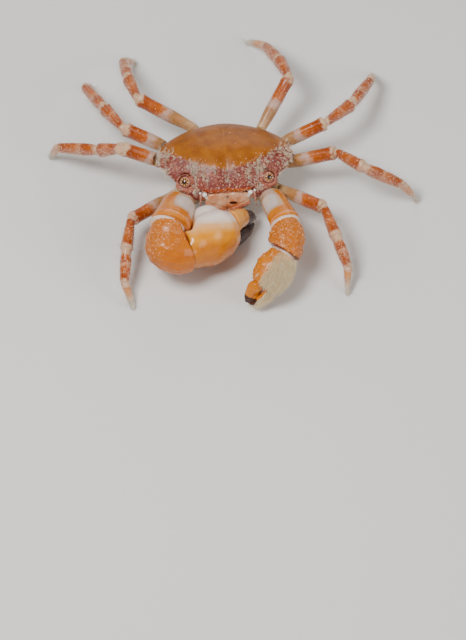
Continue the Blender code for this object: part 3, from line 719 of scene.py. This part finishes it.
for side_name, side in SIDES.items():
    plate = cad_copy(f"maxilliped_{side_name}")
    for (aside, depth, level), half in PLATE_LUMPS:
        add_lump(plate, (side * aside, depth, level), half)
    for lobe in range(EDGE_LOBES):
        share = lobe / (EDGE_LOBES - 1)
        aside, level = (start + (end - start) * share for start, end in zip(EDGE_FROM, EDGE_TO))
        short = lobe % 2
        add_lump(plate, (side * aside, -4.8 + 0.06 * short, level), (0.12, 0.17, 0.3 - 0.14 * short))
    plate = fused(plate, voxel=0.085, ease=3)
    at = in_body(places_of(plate))
    wide, y, z = np.abs(at[:, 0]), at[:, 1], at[:, 2]
    rise = (EDGE_TO[1] - EDGE_FROM[1]) / (EDGE_TO[0] - EDGE_FROM[0])
    above_edge = z - EDGE_FROM[1] - rise * wide
    groove = hump(above_edge, 0.5, 0.1) + 0.6 * hump(wide, 1.2, 0.08) * step(0.4, 0.7, above_edge)
    move_out(plate, -0.07 * groove)
    beside_hole, above_hole = at[:, 0] - HOLE_AT[0], z - HOLE_AT[1]
    from_hole = np.hypot(beside_hole / HOLE_HALF_SIZES[0], above_hole / HOLE_HALF_SIZES[1])
    masks = {
        "low": step(-4.1, -4.5, z) * step(-4.4, -4.1, y),
        "edge": step(0.42, 0.22, above_edge) * step(-4.2, -4.5, y),
        # Painted shade: the dark hole on the left plate.
        "hole": step(1.2, 0.8, from_hole) * step(-4.3, -4.6, y),
    }
    set_piece(f"jaw_foot_{side_name}", plate, jaw_finish, [f"maxilliped_{side_name}"], masks)
feeler_finish = shell_finish(
    "feeler",
    ((0.34, 0.12, 0.09), (0.44, 0.2, 0.14)),
    (("joints", ((0.6, 0.38, 0.28), (0.54, 0.3, 0.22)), 0.3, 0.4),),
    gloss=0.35,
)
for side_name in SIDES:
    feeler = fused(cad_copy(f"antenna_{side_name}"), voxel=0.06, ease=4)
    z = places_of(feeler)[:, 2]
    joints = np.clip(np.sin(z * 22) * 1.5, 0, 1)
    move_out(feeler, 0.015 * joints - 0.14)
    masks = {"joints": joints}
    set_piece(f"feeler_{side_name}", feeler, feeler_finish, [f"antenna_{side_name}"], masks)

# The underside: a broad breast plate with a furrow between the rings that carry the legs, and the
# narrow tail of a male folded forward under it. Both are smooth, cream and faintly green.
under_finish = shell_finish(
    "underside",
    ((0.62, 0.5, 0.28), (0.55, 0.46, 0.22)),
    (
        ("furrow", ((0.42, 0.3, 0.13), (0.5, 0.36, 0.18)), 0.3, 0.4),
        ("side", ((0.62, 0.34, 0.14), (0.66, 0.42, 0.22)), 0.4, 0.35),
    ),
    gloss=0.32,
    freckle=0.06,
)
FURROW_LINES = (-1.6, -0.4, 0.9, 2.2, 3.3)
breast = fused(cad_copy("sternum"), voxel=0.14, ease=4, halved=1)
x, y, z = in_body(places_of(breast)).T
wide = np.abs(x)
furrows = hump(x, 0, 0.08)
for line in FURROW_LINES:
    furrows = np.maximum(furrows, hump(y + 0.12 * wide - line, 0, 0.09) * step(0.7, 1.2, wide))
move_out(breast, -0.08 * furrows)
masks = {"furrow": furrows, "side": step(2.4, 3.4, wide)}
set_piece("breast_plate", breast, under_finish, ["sternum"], masks)
# The tail's rings are counted from its bend at the rear, forward where it lies and up where it stands.
TAIL_BEND, TAIL_REAR, TAIL_RING, TAIL_START = -2.6, 5.2, 1.15, 0.6
tail = fused(cad_copy("abdomen"), voxel=0.1, ease=4)
x, y, z = in_body(places_of(tail)).T
along_tail = np.where(z < TAIL_BEND, TAIL_REAR - y, TAIL_BEND - z - TAIL_START)
rings = hump(np.mod(along_tail + TAIL_START, TAIL_RING), TAIL_RING / 2, 0.07)
move_out(tail, -0.06 * rings)
masks = {"furrow": rings, "side": np.zeros(len(x))}
set_piece("tail_flap", tail, under_finish, ["abdomen"], masks)


# Joints of a limb are found from its solids: where two of them face each other is a joint. Round
# necks fill the joints, and a place on a limb is told by how far along it lies, in pieces and shares
# of a piece, and how far round from the upper side.
def node_points(node):
    points = np.empty(len(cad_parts[node].data.vertices) * 3)
    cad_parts[node].data.vertices.foreach_get("co", points)
    return points.reshape(-1, 3) / MM


def joint_between(first, second, spare):
    """The middle of the two faces that meet, and the half breadth of the narrower one.

    Points count as part of a face when they are within spare of the nearest to the other piece.
    """
    ones, others = node_points(first), node_points(second)
    near = []
    for points, facing in ((ones, others), (others, ones)):
        distance = np.min(np.linalg.norm(points[:, None, :] - facing[None, :, :], axis=2), axis=1)
        near.append(points[distance < distance.min() + spare])
    middle = sum(face.min(axis=0) + face.max(axis=0) for face in near) / 4
    breadth = min(np.linalg.norm(face - face.mean(axis=0), axis=1).max() for face in near)
    return middle, breadth


def limb_ends(nodes, spare=0.2):
    """The places of a limb's root, joints and tip, and the breadth of each joint."""
    joints = [joint_between(first, second, spare) for first, second in zip(nodes, nodes[1:])]
    ends = []
    for node, joint in ((nodes[0], joints[0][0]), (nodes[-1], joints[-1][0])):
        points = node_points(node)
        reach = np.linalg.norm(points - joint, axis=1)
        ends.append(points[reach > reach.max() - 0.25].mean(axis=0))
    return np.array([ends[0], *(middle for middle, _ in joints), ends[1]]), [breadth for _, breadth in joints]


def along_limb(points, spots):
    """How far along the limb each place lies, and its angle round the limb from the upper side."""
    best = np.full(len(spots), np.inf)
    station = np.zeros(len(spots))
    angle = np.zeros(len(spots))
    for number, (start, end) in enumerate(zip(points, points[1:])):
        way = end - start
        share = np.clip((spots - start) @ way / (way @ way), 0, 1)
        away = spots - (start + share[:, None] * way)
        distance = np.linalg.norm(away, axis=1)
        nearer = distance < best
        up = np.array((0, 0, 1.0)) - way * (way[2] / (way @ way))
        up /= np.linalg.norm(up)
        aside = np.cross(way / np.linalg.norm(way), up)
        best[nearer] = distance[nearer]
        station[nearer] = number + share[nearer]
        angle[nearer] = np.arctan2(away @ aside, away @ up)[nearer]
    return station, angle


def with_necks(nodes, ends, breadths, share=0.8):
    """Copies of a limb's solids and a soft round neck inside each joint."""
    bm = cad_copy(*nodes)
    for place, breadth in zip(ends[1:-1], breadths):
        add_ball(bm, place, breadth * share, 3)
    return bm


def limb_patches(ends, row, rows):
    """The unwrap of a limb: along it one way and round it the other, each limb in a row of its own."""

    def patches(spots):
        station, angle = along_limb(ends, spots)
        across = (row + 0.04 + 0.9 * (angle / math.tau + 0.5)) / rows
        return np.column_stack((0.01 + 0.97 * station / (len(ends) - 1), across))

    return patches


# The eight walking legs have red-orange shells ringed with white at the joints and across the
# second piece, brown and clear near the body and cream at the tips. Short hairs cover the outer
# pieces, long ones stand out from them, and white down covers each tip.
def leg_finish(name):
    """Leg shell in bands, whose stops are places along the leg, counted in pieces."""
    red, deep, brown = (0.55, 0.165, 0.008), (0.42, 0.1, 0.006), (0.46, 0.25, 0.09)
    white, milk, peach = (0.7, 0.5, 0.34), (0.6, 0.42, 0.34), (0.7, 0.33, 0.1)
    stops = (
        (0.0, (0.62, 0.48, 0.3)),
        (0.98, (0.66, 0.5, 0.3)),
        (1.14, (0.6, 0.4, 0.22)),
        (1.24, (0.5, 0.3, 0.14)),
        (1.4, brown),
        (1.47, milk),
        (1.55, milk),
        (1.61, red),
        (1.91, deep),
        (1.96, white),
        (2.03, white),
        (2.09, deep),
        (2.45, red),
        (2.52, (0.62, 0.27, 0.14)),
        (2.62, red),
        (2.9, deep),
        (2.95, white),
        (3.08, white),
        (3.14, red),
        (3.36, deep),
        (3.44, (0.68, 0.36, 0.2)),
        (3.54, red),
        (3.88, deep),
        (3.95, white),
        (4.08, (0.7, 0.5, 0.36)),
        (4.18, peach),
        (4.5, (0.66, 0.4, 0.25)),
        (4.75, (0.78, 0.66, 0.5)),
        (5.0, (0.82, 0.74, 0.6)),
    )
    made = Finish(
        name, Coat_Weight=0.25, Coat_Roughness=0.2, Specular_IOR_Level=0.3, Subsurface_Weight=0.15,
        Subsurface_Scale=0.0004,
    )
    frayed = made.mask("station") + (made.noise(2.0, 4.0) - 0.5) * 0.26
    ramp = {"stops": tuple((at / len(LEG_PIECES), tone) for at, tone in stops)}
    colour = made.node("ShaderNodeValToRGB", ramp, {0: frayed / len(LEG_PIECES)}, "Color")
    clouds = made.noise(1.6, 4.0)
    colour = made.blend(clouds.between(0.52, 0.72) * 0.3, colour, (0.85, 0.36, 0.2))
    colour = made.blend((1 - clouds).between(0.55, 0.75) * 0.3, colour, (0.3, 0.045, 0.02))
    rosy = (made.mask("side") + (made.noise(3.5) - 0.5)).between(0.5, 0.9) * 0.45
    colour = made.blend(rosy, colour, (0.55, 0.26, 0.2))
    specks = (1 - made.cells(4.0) * 2.6).between(0.25, 0.6) * 0.3
    colour = made.blend(specks, colour, (0.86, 0.6, 0.42))
    made.paint(colour, 1.3)
    made.feed("Roughness", made.noise(4.0) * 0.25 + 0.22)
    made.emboss(made.noise(7.0, 3.0) * 0.01 + (1 - made.cells(4.0) * 1.7).between(0.0, 0.9) * 0.014)
    return made.material


LEG_PIECES = ("hip", "merus", "carpus", "propodus", "dactylus")
# Where along its second piece a leg's root is filled out again, as the solids are cut clear of the
# shell there, and how thickly, as a share of the first joint's breadth.
ROOT_SHARES = (0.0, 0.07, 0.14, 0.21, 0.28, 0.35, 0.42)
ROOT_GIRTH = 0.85
banded = leg_finish("banded_leg")
long_hair = hair_finish("long_hair", (0.55, 0.45, 0.34), (0.78, 0.7, 0.58))
white_down = hair_finish("white_down", (0.78, 0.7, 0.56), (0.9, 0.86, 0.76))
pale_grain = grain_finish("pale_grain", (0.72, 0.42, 0.28), (0.86, 0.7, 0.55))
PAIRS, LEG_GRAINS = 4, 60
leg_hair_finishes = {"short": cream_hair, "long": long_hair, "down": white_down}
leg_coats = {}
for side_name in SIDES:
    for pair in range(PAIRS):
        nodes = [f"leg_{side_name}_{pair + 1}_{part}" for part in LEG_PIECES]
        ends, breadths = limb_ends(nodes)
        whole_leg = with_necks(nodes, ends, breadths)
        for share in ROOT_SHARES:
            add_ball(whole_leg, ends[1] + (ends[2] - ends[1]) * share, breadths[0] * ROOT_GIRTH, 3)
        skin = fused(whole_leg, voxel=0.085, ease=7)
        station, angle = along_limb(ends, places_of(skin))
        share = station % 1
        knuckle = hump(share, 0.94, 0.05) * (station < 4)
        slot_line = hump(share, 0.0, 0.025) + hump(share, 1.0, 0.025)
        lumps = np.sin(station * 61 + angle * 3) * np.sin(angle * 4 + station * 23)
        grooves = 0.05 * slot_line * (station > 1)
        move_out(skin, 0.03 + 0.05 * knuckle - grooves + 0.012 * lumps * (station > 2))
        masks = {"station": station, "side": np.abs(np.sin(angle)) * step(1.9, 2.2, station)}
        leg = set_piece(f"leg_{side_name}_{pair + 1}_shell", skin, banded, nodes, masks)
        patches = limb_patches(ends, pair, PAIRS)
        seed = 100 + pair * 10 + (50 if side_name == "left" else 0)
        draw = np.random.default_rng(seed)
        way_on = unit(ends[-1] - ends[2])

        def short_chance(spots, turns):
            at, round_it = along_limb(ends, spots)
            lower = step(0.2, -0.6, turns[:, 2])
            clear = step(1.15, 1.35, at)
            return clear * (0.12 + step(1.9, 2.3, at) * 0.8) * (0.5 + lower + 0.7 * np.abs(np.sin(round_it)))

        def down_chance(spots, turns):
            at = along_limb(ends, spots)[0]
            return step(4.35, 4.8, at)

        def grain_chance(spots, turns):
            at = along_limb(ends, spots)[0]
            return step(1.6, 2.1, at) * step(4.6, 3.8, at) * step(-0.2, 0.5, turns[:, 2])

        # Kinds of hair: number, where they grow, what their length is drawn from, radius, steepness.
        for kind, count, chance, low, high, thickness, stand in (
            ("short", 900, short_chance, 0.2, 0.45, 0.016, 0.8),
            ("long", 150, short_chance, 0.6, 1.5, 0.016, 1.6),
            ("down", 650, down_chance, 0.18, 0.42, 0.018, 0.7),
        ):
            spots, turns = strewn(leg, count, chance, seed + len(kind))
            lengths = draw.uniform(low, high, count) ** 1.3
            leans = draw.normal(0, 0.25, spots.shape)
            ways = turns * stand + way_on * 0.55 + leans
            bows = way_on * 0.35 + draw.normal(0, 0.12, spots.shape)
            radii = np.full(count, thickness)
            rows = leg_coats.setdefault((side_name, kind), [])
            rows.append((spots - turns * ROOT_SINK, ways, bows, lengths, radii, patches(spots)))
        spots, turns = strewn(leg, LEG_GRAINS, grain_chance, seed + 9)
        sizes = draw.uniform(0.04, 0.075, LEG_GRAINS)
        beads(f"leg_{side_name}_{pair + 1}_grains", spots, sizes, pale_grain, "limb")
for (side_name, kind), rows in leg_coats.items():
    roots, ways, bows, lengths, radii, patches = (np.concatenate(column) for column in zip(*rows))
    finish = leg_hair_finishes[kind]
    hairs(f"legs_{side_name}_{kind}_hairs", roots, ways, bows, lengths, radii, finish, patches)


# Each claw arm is an upper arm, pale and milky on its inner face, a grained wrist piece, and a hand
# with one fixed and one moving finger, both dark brown towards the tip. Soft pale skin fills the
# elbow and the wrist.
def share_along(spots, start, end):
    """How far each place lies on the way from start to end, as a share of that way."""
    return (spots - start) @ unit(end - start) / np.linalg.norm(end - start)


arm_finish = shell_finish(
    "claw_arm",
    ((0.66, 0.25, 0.0), (0.72, 0.3, 0.0)),
    (
        ("root", ((0.6, 0.5, 0.34), (0.55, 0.42, 0.24)), 0.3, 0.35),
        ("inner", ((0.66, 0.52, 0.44), (0.6, 0.42, 0.28)), 0.25, 0.25),
        ("milk", ((0.64, 0.58, 0.58), (0.72, 0.6, 0.5)), 0.6, 0.22),
        ("rim", ((0.8, 0.3, 0.08), (0.8, 0.42, 0.22)), 0.5, 0.3),
    ),
    gloss=0.25,
    grain=("rim", 4.0, 0.04),
)
wrist_finish = shell_finish(
    "claw_wrist",
    ((0.6, 0.21, 0.0), (0.66, 0.25, 0.0)),
    # Painted shade: the dark edge lies where the wrist piece meets the hand.
    (("edge", ((0.26, 0.05, 0.0), (0.32, 0.07, 0.0)), 0.1, 0.35),),
    gloss=0.34,
    grain=("grained", 3.6, 0.05),
    coat=0.2,
    freckle=0.04,
)
# Half sizes of the joint skin at elbow and wrist: sideways, along the arm and upwards.
SKIN_REACH = {
    "right": ((1.9, 0.75, 1.7), (0.9, 0.8, 0.9)),
    "left": ((1.6, 0.7, 1.4), (1.25, 0.8, 1.15)),
}
# Balls that round off the big hand at its wrist and heel, and each moving finger at its root.
WRIST_REACH = 1.8
HEEL_BRIDGES = (((-3.5, -10.2, 4.6), 1.9), ((-3.3, -9.0, 4.4), 1.85))
KNUCKLE_REACH = {"right": 1.1, "left": 0.7}
# What closes the gap between the small hand's fingers: its half breadth, and how far aside it is.
FINGER_FILLER, FINGER_FILLER_ASIDE = 0.4, 0.32
# Voxel size of each hand's skin and how often it is eased.
HAND_SKIN = {"right": (0.14, 24), "left": (0.1, 5)}
# The way that the coated side of the small hand faces.
COAT_FACES = np.array((0.75, -0.5, 0.0))
COAT_FACES /= np.linalg.norm(COAT_FACES)
palm_finish = shell_finish(
    "claw_palm",
    ((0.72, 0.305, 0.0), (0.66, 0.26, 0.0)),
    (
        ("peach", ((0.86, 0.44, 0.03), (0.82, 0.38, 0.01)), 0.15, 0.2),
        ("pale", ((0.88, 0.6, 0.36), (0.86, 0.5, 0.22)), 0.15, 0.2),
        ("white", ((0.88, 0.8, 0.76), (0.87, 0.74, 0.64)), 0.15, 0.18),
        ("dark", ((0.09, 0.028, 0.014), (0.16, 0.06, 0.024)), 0.1, 0.34),
        ("tips", ((0.8, 0.7, 0.55), (0.7, 0.5, 0.3)), 0.1, 0.2),
    ),
    gloss=0.26,
    coat=0.22,
    freckle=0.0,
    bare="dark",
)
membrane = shell_finish(
    "joint_skin", ((0.78, 0.62, 0.5), (0.82, 0.7, 0.62)), (), gloss=0.4, coat=0.1, freckle=0.0
)
claws = {}
for side_name, side in SIDES.items():
    arm_nodes = [f"claw_{side_name}_{part}" for part in ("hip", "merus", "carpus", "hand", "finger")]
    ends, breadths = limb_ends(arm_nodes, 0.5)
    finger_points = node_points(arm_nodes[4])
    from_wrist = np.linalg.norm(finger_points - ends[3], axis=1)
    ends[4] = finger_points[from_wrist < from_wrist.min() + 0.4].mean(axis=0)
    ends[5] = finger_points[from_wrist.argmax()]
    shoulder, elbow, wrist, knuckle, tip = ends[1:]
    claws[side_name] = ends
    big = side_name == "right"
    arm = with_necks(arm_nodes[:2], ends[:3], breadths[:1], 0.9)
    arm = fused(arm, voxel=0.13, ease=5, halved=1)
    spots = places_of(arm)
    normals = normals_of(arm)
    share = share_along(spots, shoulder, elbow)
    inward = unit(np.cross(unit(elbow - shoulder), (0, 0, 1.0)) * side)
    faces_in = normals @ unit(inward * 0.6 + np.array((0, 0, 0.8)))
    rim_ring = hump(share, 0.93, 0.05)
    move_out(arm, 0.05 * rim_ring + 0.06 * hump(faces_in, 0.6, 0.12) * step(0.1, 0.4, share))
    masks = {
        "root": step(0.12, -0.1, share),
        "inner": step(0.5, 0.72, faces_in) * step(0.74, 0.6, share),
        "milk": step(0.68, 0.88, faces_in) * step(0.66, 0.52, share) * step(0.05, 0.25, share),
        "rim": rim_ring * 0.8 + hump(faces_in, 0.58, 0.08) * step(0.1, 0.3, share) * 0.5,
    }
    set_piece(f"claw_{side_name}_arm", arm, arm_finish, arm_nodes[:2], masks)

    necks = bmesh.new()
    ways = (elbow - shoulder, knuckle - wrist)
    for place, onward, reach in zip((elbow, wrist), ways, SKIN_REACH[side_name]):
        ahead = Vector((onward[0], onward[1], 0)).normalized()
        stand = Matrix((ahead.cross(Vector((0, 0, 1))), ahead, Vector((0, 0, 1)))).transposed().to_4x4()
        made = bmesh.ops.create_uvsphere(necks, u_segments=48, v_segments=32, radius=1)
        bmesh.ops.scale(necks, verts=made["verts"], vec=reach)
        bmesh.ops.transform(necks, verts=made["verts"], matrix=Matrix.Translation(place) @ stand)
    bmesh.ops.recalc_face_normals(necks, faces=necks.faces)
    set_piece(f"claw_{side_name}_joint_skin", necks, membrane)

    cuff = fused(cad_copy(arm_nodes[2]), voxel=0.12, ease=4, halved=1)
    spots = places_of(cuff)
    share = share_along(spots, elbow, wrist)
    to_wrist = (wrist - spots) @ unit(knuckle - wrist)
    move_out(cuff, 0.1 * hump(to_wrist, 0.2, 0.16))
    grained = step(0.55, 0.2, share) if big else np.ones(len(spots))
    # The wrist piece is painted dark near the hand, as painted shade of the gap between them.
    solid_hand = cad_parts[arm_nodes[3]]
    nearest = (solid_hand.closest_point_on_mesh(Vector(spot) * MM)[1] / MM for spot in spots)
    to_hand = np.array([(Vector(spot) - place).length for spot, place in zip(spots, nearest)])
    masks = {"edge": step(0.66, 0.5, to_hand), "grained": grained}
    wrist_piece = set_piece(f"claw_{side_name}_wrist", cuff, wrist_finish, [arm_nodes[2]], masks)

    hand = cad_copy(arm_nodes[3])
    if big:
        for place, reach in ((wrist, WRIST_REACH), *HEEL_BRIDGES):
            add_ball(hand, place, reach)
    hand = fused(hand, *HAND_SKIN[side_name], halved=1)
    spots = places_of(hand)
    normals = normals_of(hand)
    share = share_along(spots, wrist, knuckle)
    to_top = unit(np.array((0.1, 0.75, 0.6)))
    upper = 0.4 * (normals @ to_top) + 0.6 * ((spots - (wrist + knuckle) / 2) @ to_top) / 2.4
    down_finger = share_along(spots, knuckle, tip)
    masks = {
        "peach": step(-0.7, 0.4, upper),
        "pale": step(-0.2, 0.85, upper),
        "white": step(0.25, 1.05, upper) * step(1.1, 0.9, share),
        "dark": step(0.95, 1.1, share) * step(0.08, 0.2, down_finger),
        "tips": np.zeros(len(spots)),
    }
    if not big:
        coated = normals @ COAT_FACES
        # Under the coat the shell is painted pale and white: partly the coat's own cream, partly painted
        # light lifting the hairs, which shade each other.
        masks["pale"] = step(0.0, 0.3, coated) * step(-0.2, 0.15, share)
        masks["white"] = 0.6 * step(0.3, 0.6, coated) * step(0.0, 0.3, share)
        masks["peach"] = step(0.3, 0.8, normals[:, 2]) * 0.3
        reach = np.linalg.norm(spots - tip, axis=1)
        masks["dark"] = step(1.5, 1.25, reach)
        masks["tips"] = step(0.35, 0.15, reach)
    hand_piece = set_piece(f"claw_{side_name}_hand_shell", hand, palm_finish, [arm_nodes[3]], masks)
    claws[side_name + "_hand"] = hand_piece
    claws[side_name + "_wrist"] = wrist_piece

    finger = cad_copy(arm_nodes[4])
    add_ball(finger, knuckle, KNUCKLE_REACH[side_name])
    if not big:
        length = np.linalg.norm(tip - knuckle)
        made = bmesh.ops.create_icosphere(finger, subdivisions=4, radius=1)
        bmesh.ops.scale(finger, verts=made["verts"], vec=(FINGER_FILLER, FINGER_FILLER, length * 0.46))
        turn = Vector(tip - knuckle).to_track_quat("Z", "Y").to_matrix().to_4x4()
        middle = (tip + knuckle) / 2 + np.array((FINGER_FILLER_ASIDE, 0, -FINGER_FILLER))
        bmesh.ops.transform(finger, verts=made["verts"], matrix=Matrix.Translation(middle) @ turn)
    finger = fused(finger, voxel=0.09, ease=5, halved=1)
    spots = places_of(finger)
    share = share_along(spots, knuckle, tip)
    zero = np.zeros(len(spots))
    masks = {
        "peach": step(0.45, 0.25, share) if big else zero,
        "pale": 0.5 * step(0.45, 0.25, share) if big else zero,
        "white": zero,
        "dark": step(0.3, 0.42, share) if big else step(0.5, 0.66, share),
        "tips": zero if big else step(0.93, 0.99, share),
    }
    set_piece(f"claw_{side_name}_moving_finger", finger, palm_finish, [arm_nodes[4]], masks)

# Grains of the two wrist pieces and of the small hand, which has a dense cream coat on its outer
# and front side. Both hands and wrists have sparse long hairs, thickest on the lower side.
orange_grain = grain_finish("orange_grain", (0.72, 0.25, 0.05), (0.88, 0.5, 0.26))
draw = np.random.default_rng(31)
for side_name, count, size in (("right", 240, 0.075), ("left", 190, 0.1)):
    ends = claws[side_name]
    elbow, wrist = ends[2], ends[3]

    def wrist_chance(spots, turns):
        share = share_along(spots, elbow, wrist)
        spread = step(0.75, 0.2, share) if side_name == "right" else np.ones(len(spots))
        return spread * step(-0.3, 0.4, turns[:, 2]) + 0.02

    spots, turns = strewn(claws[side_name + "_wrist"], count, wrist_chance, 41)
    beads(f"claw_{side_name}_wrist_grains", spots, draw.uniform(0.5, 1.0, count) * size, orange_grain, "claw")

ends = claws["left"]
wrist, knuckle, tip = ends[3], ends[4], ends[5]
small_hand = claws["left_hand"]
HAND_GRAINS, COAT_HAIRS, COAT_RADIUS, COAT_SINK = 240, 4200, 0.034, 0.04
cream_coat = hair_finish("cream_coat", (1.0, 0.74, 0.4), (1.0, 0.84, 0.54))


def coat_chance(spots, turns):
    share = share_along(spots, wrist, knuckle)
    return step(-0.05, 0.35, turns @ COAT_FACES) * step(-0.2, 0.15, share) * step(1.5, 1.15, share)


def hand_grain_chance(spots, turns):
    share = share_along(spots, wrist, knuckle)
    return step(0.35, 0.0, turns @ COAT_FACES) * step(1.25, 1.0, share)


def lower_side_chance(spots, turns):
    return step(0.3, -0.5, turns[:, 2]) + 0.1


def arm_patches(ends):
    return limb_patches(ends, 0, 1)


spots, turns = strewn(small_hand, HAND_GRAINS, hand_grain_chance, seed=43)
beads("claw_left_hand_grains", spots, draw.uniform(0.04, 0.09, HAND_GRAINS), orange_grain, "claw")
spots, turns = strewn(small_hand, COAT_HAIRS, coat_chance, seed=44)
onward = unit(tip - wrist)
leans = draw.normal(0, 0.16, spots.shape)
hairs(
    "claw_left_coat", spots - turns * COAT_SINK, turns + onward * 0.7 + leans, onward * 0.3 + leans * 0.4,
    draw.uniform(0.4, 0.75, len(spots)), COAT_RADIUS, cream_coat, arm_patches(ends)(spots),
)
LONG_HAIR_RADIUS = 0.017
for side_name, count, longest in (("left", 110, 1.1), ("right", 20, 0.9)):
    ends = claws[side_name]
    for part, seed in (("wrist", 51), ("hand", 52)):
        spots, turns = strewn(claws[f"{side_name}_{part}"], count, lower_side_chance, seed)
        leans = draw.normal(0, 0.3, spots.shape)
        roots = spots - turns * ROOT_SINK
        hairs(
            f"claw_{side_name}_{part}_long_hairs", roots, turns * 1.2 + leans, leans * 0.4,
            draw.uniform(0.3, longest, len(spots)), LONG_HAIR_RADIUS, long_hair, arm_patches(ends)(spots),
        )

# The fringe of the mouth: pale hairs on the jaw feet, thickest along their lower edge and next
# thickest along their upper one.
FRINGE_HAIRS, FRINGE_RADIUS = 240, 0.024


def fringe_chance(spots, turns):
    z = in_body(spots)[:, 2]
    return step(-3.6, -4.1, z) + 0.5 * step(-2.6, -2.3, z) + 0.05


for side_name in SIDES:
    jaw = bpy.data.objects[f"jaw_foot_{side_name}"]
    spots, turns = strewn(jaw, FRINGE_HAIRS, fringe_chance, seed=61)
    leans = draw.normal(0, 0.2, spots.shape)
    hairs(
        jaw.name + "_fringe", spots, turns + leans, leans * 0.3, draw.uniform(0.2, 0.5, len(spots)),
        FRINGE_RADIUS, cream_hair, shell_patches(spots),
    )

# The stage: a plain pale floor, wide soft lamps as in a studio, and the camera, which looks down
# from in front as the photograph does, with the crab in the upper half of the picture.
floor = bmesh.new()
bmesh.ops.create_grid(floor, x_segments=1, y_segments=1, size=1.5)
floor_mesh = bpy.data.meshes.new("floor")
floor.to_mesh(floor_mesh)
floor.free()
floor_finish = Finish("pale_floor", Roughness=0.7)
floor_finish.feed("Base Color", (0.78, 0.77, 0.75))
floor_mesh.materials.append(floor_finish.material)
floor_made = bpy.data.objects.new("floor", floor_mesh)
bpy.context.scene.collection.objects.link(floor_made)

world = bpy.data.worlds.new("studio")
bpy.context.scene.world = world
world.use_nodes = True
world.node_tree.nodes["Background"].inputs["Color"].default_value = (1, 0.97, 0.94, 1)
world.node_tree.nodes["Background"].inputs["Strength"].default_value = 0.3
for name, place, power, size in (
    ("key", (-0.06, -0.05, 0.16), 0.3, 0.06),
    ("fill", (0.14, -0.1, 0.1), 0.14, 0.12),
    ("back", (0.03, 0.18, 0.1), 0.1, 0.16),
):
    lamp = bpy.data.lights.new(name, "AREA")
    lamp.energy = power
    lamp.shape = "DISK"
    lamp.size = size
    light = bpy.data.objects.new(name, lamp)
    light.location = place
    light.rotation_euler = (-Vector(place)).to_track_quat("-Z", "Y").to_euler()
    bpy.context.scene.collection.objects.link(light)

# The picture is 66.9 mm tall at the crab. The place in the body that it is measured from lies 8.2
# pixels left of the picture's middle and 164.7 above it.
VIEW_TURN, VIEW_RISE = math.radians(-4), math.radians(54)
PICTURE_HEIGHT, PIXELS_PER_MM = 66.9, 9.57
AIM_LEFT, AIM_ABOVE = 8.2 / PIXELS_PER_MM, 164.7 / PIXELS_PER_MM
LENS_LENGTH, SENSOR_SIZE = 300, 36
level = math.cos(VIEW_RISE)
back = Vector((math.sin(VIEW_TURN) * level, -math.cos(VIEW_TURN) * level, math.sin(VIEW_RISE)))
right = Vector((math.cos(VIEW_TURN), math.sin(VIEW_TURN), 0))
up = back.cross(right)
aim = Vector(on_floor((0, -0.6, 0)))
centre = aim + right * AIM_LEFT - up * AIM_ABOVE
lens = bpy.data.cameras.new("camera")
lens.lens = LENS_LENGTH
lens.sensor_width = SENSOR_SIZE
lens.clip_start = 0.01
distance = PICTURE_HEIGHT * LENS_LENGTH / SENSOR_SIZE
camera = bpy.data.objects.new("camera", lens)
seat = aim + back * distance
look = (centre - seat).normalized()
sight = look.to_track_quat("-Z", "Y")
camera.location = seat * MM
camera.rotation_euler = sight.to_euler()
bpy.context.scene.collection.objects.link(camera)
bpy.context.scene.camera = camera
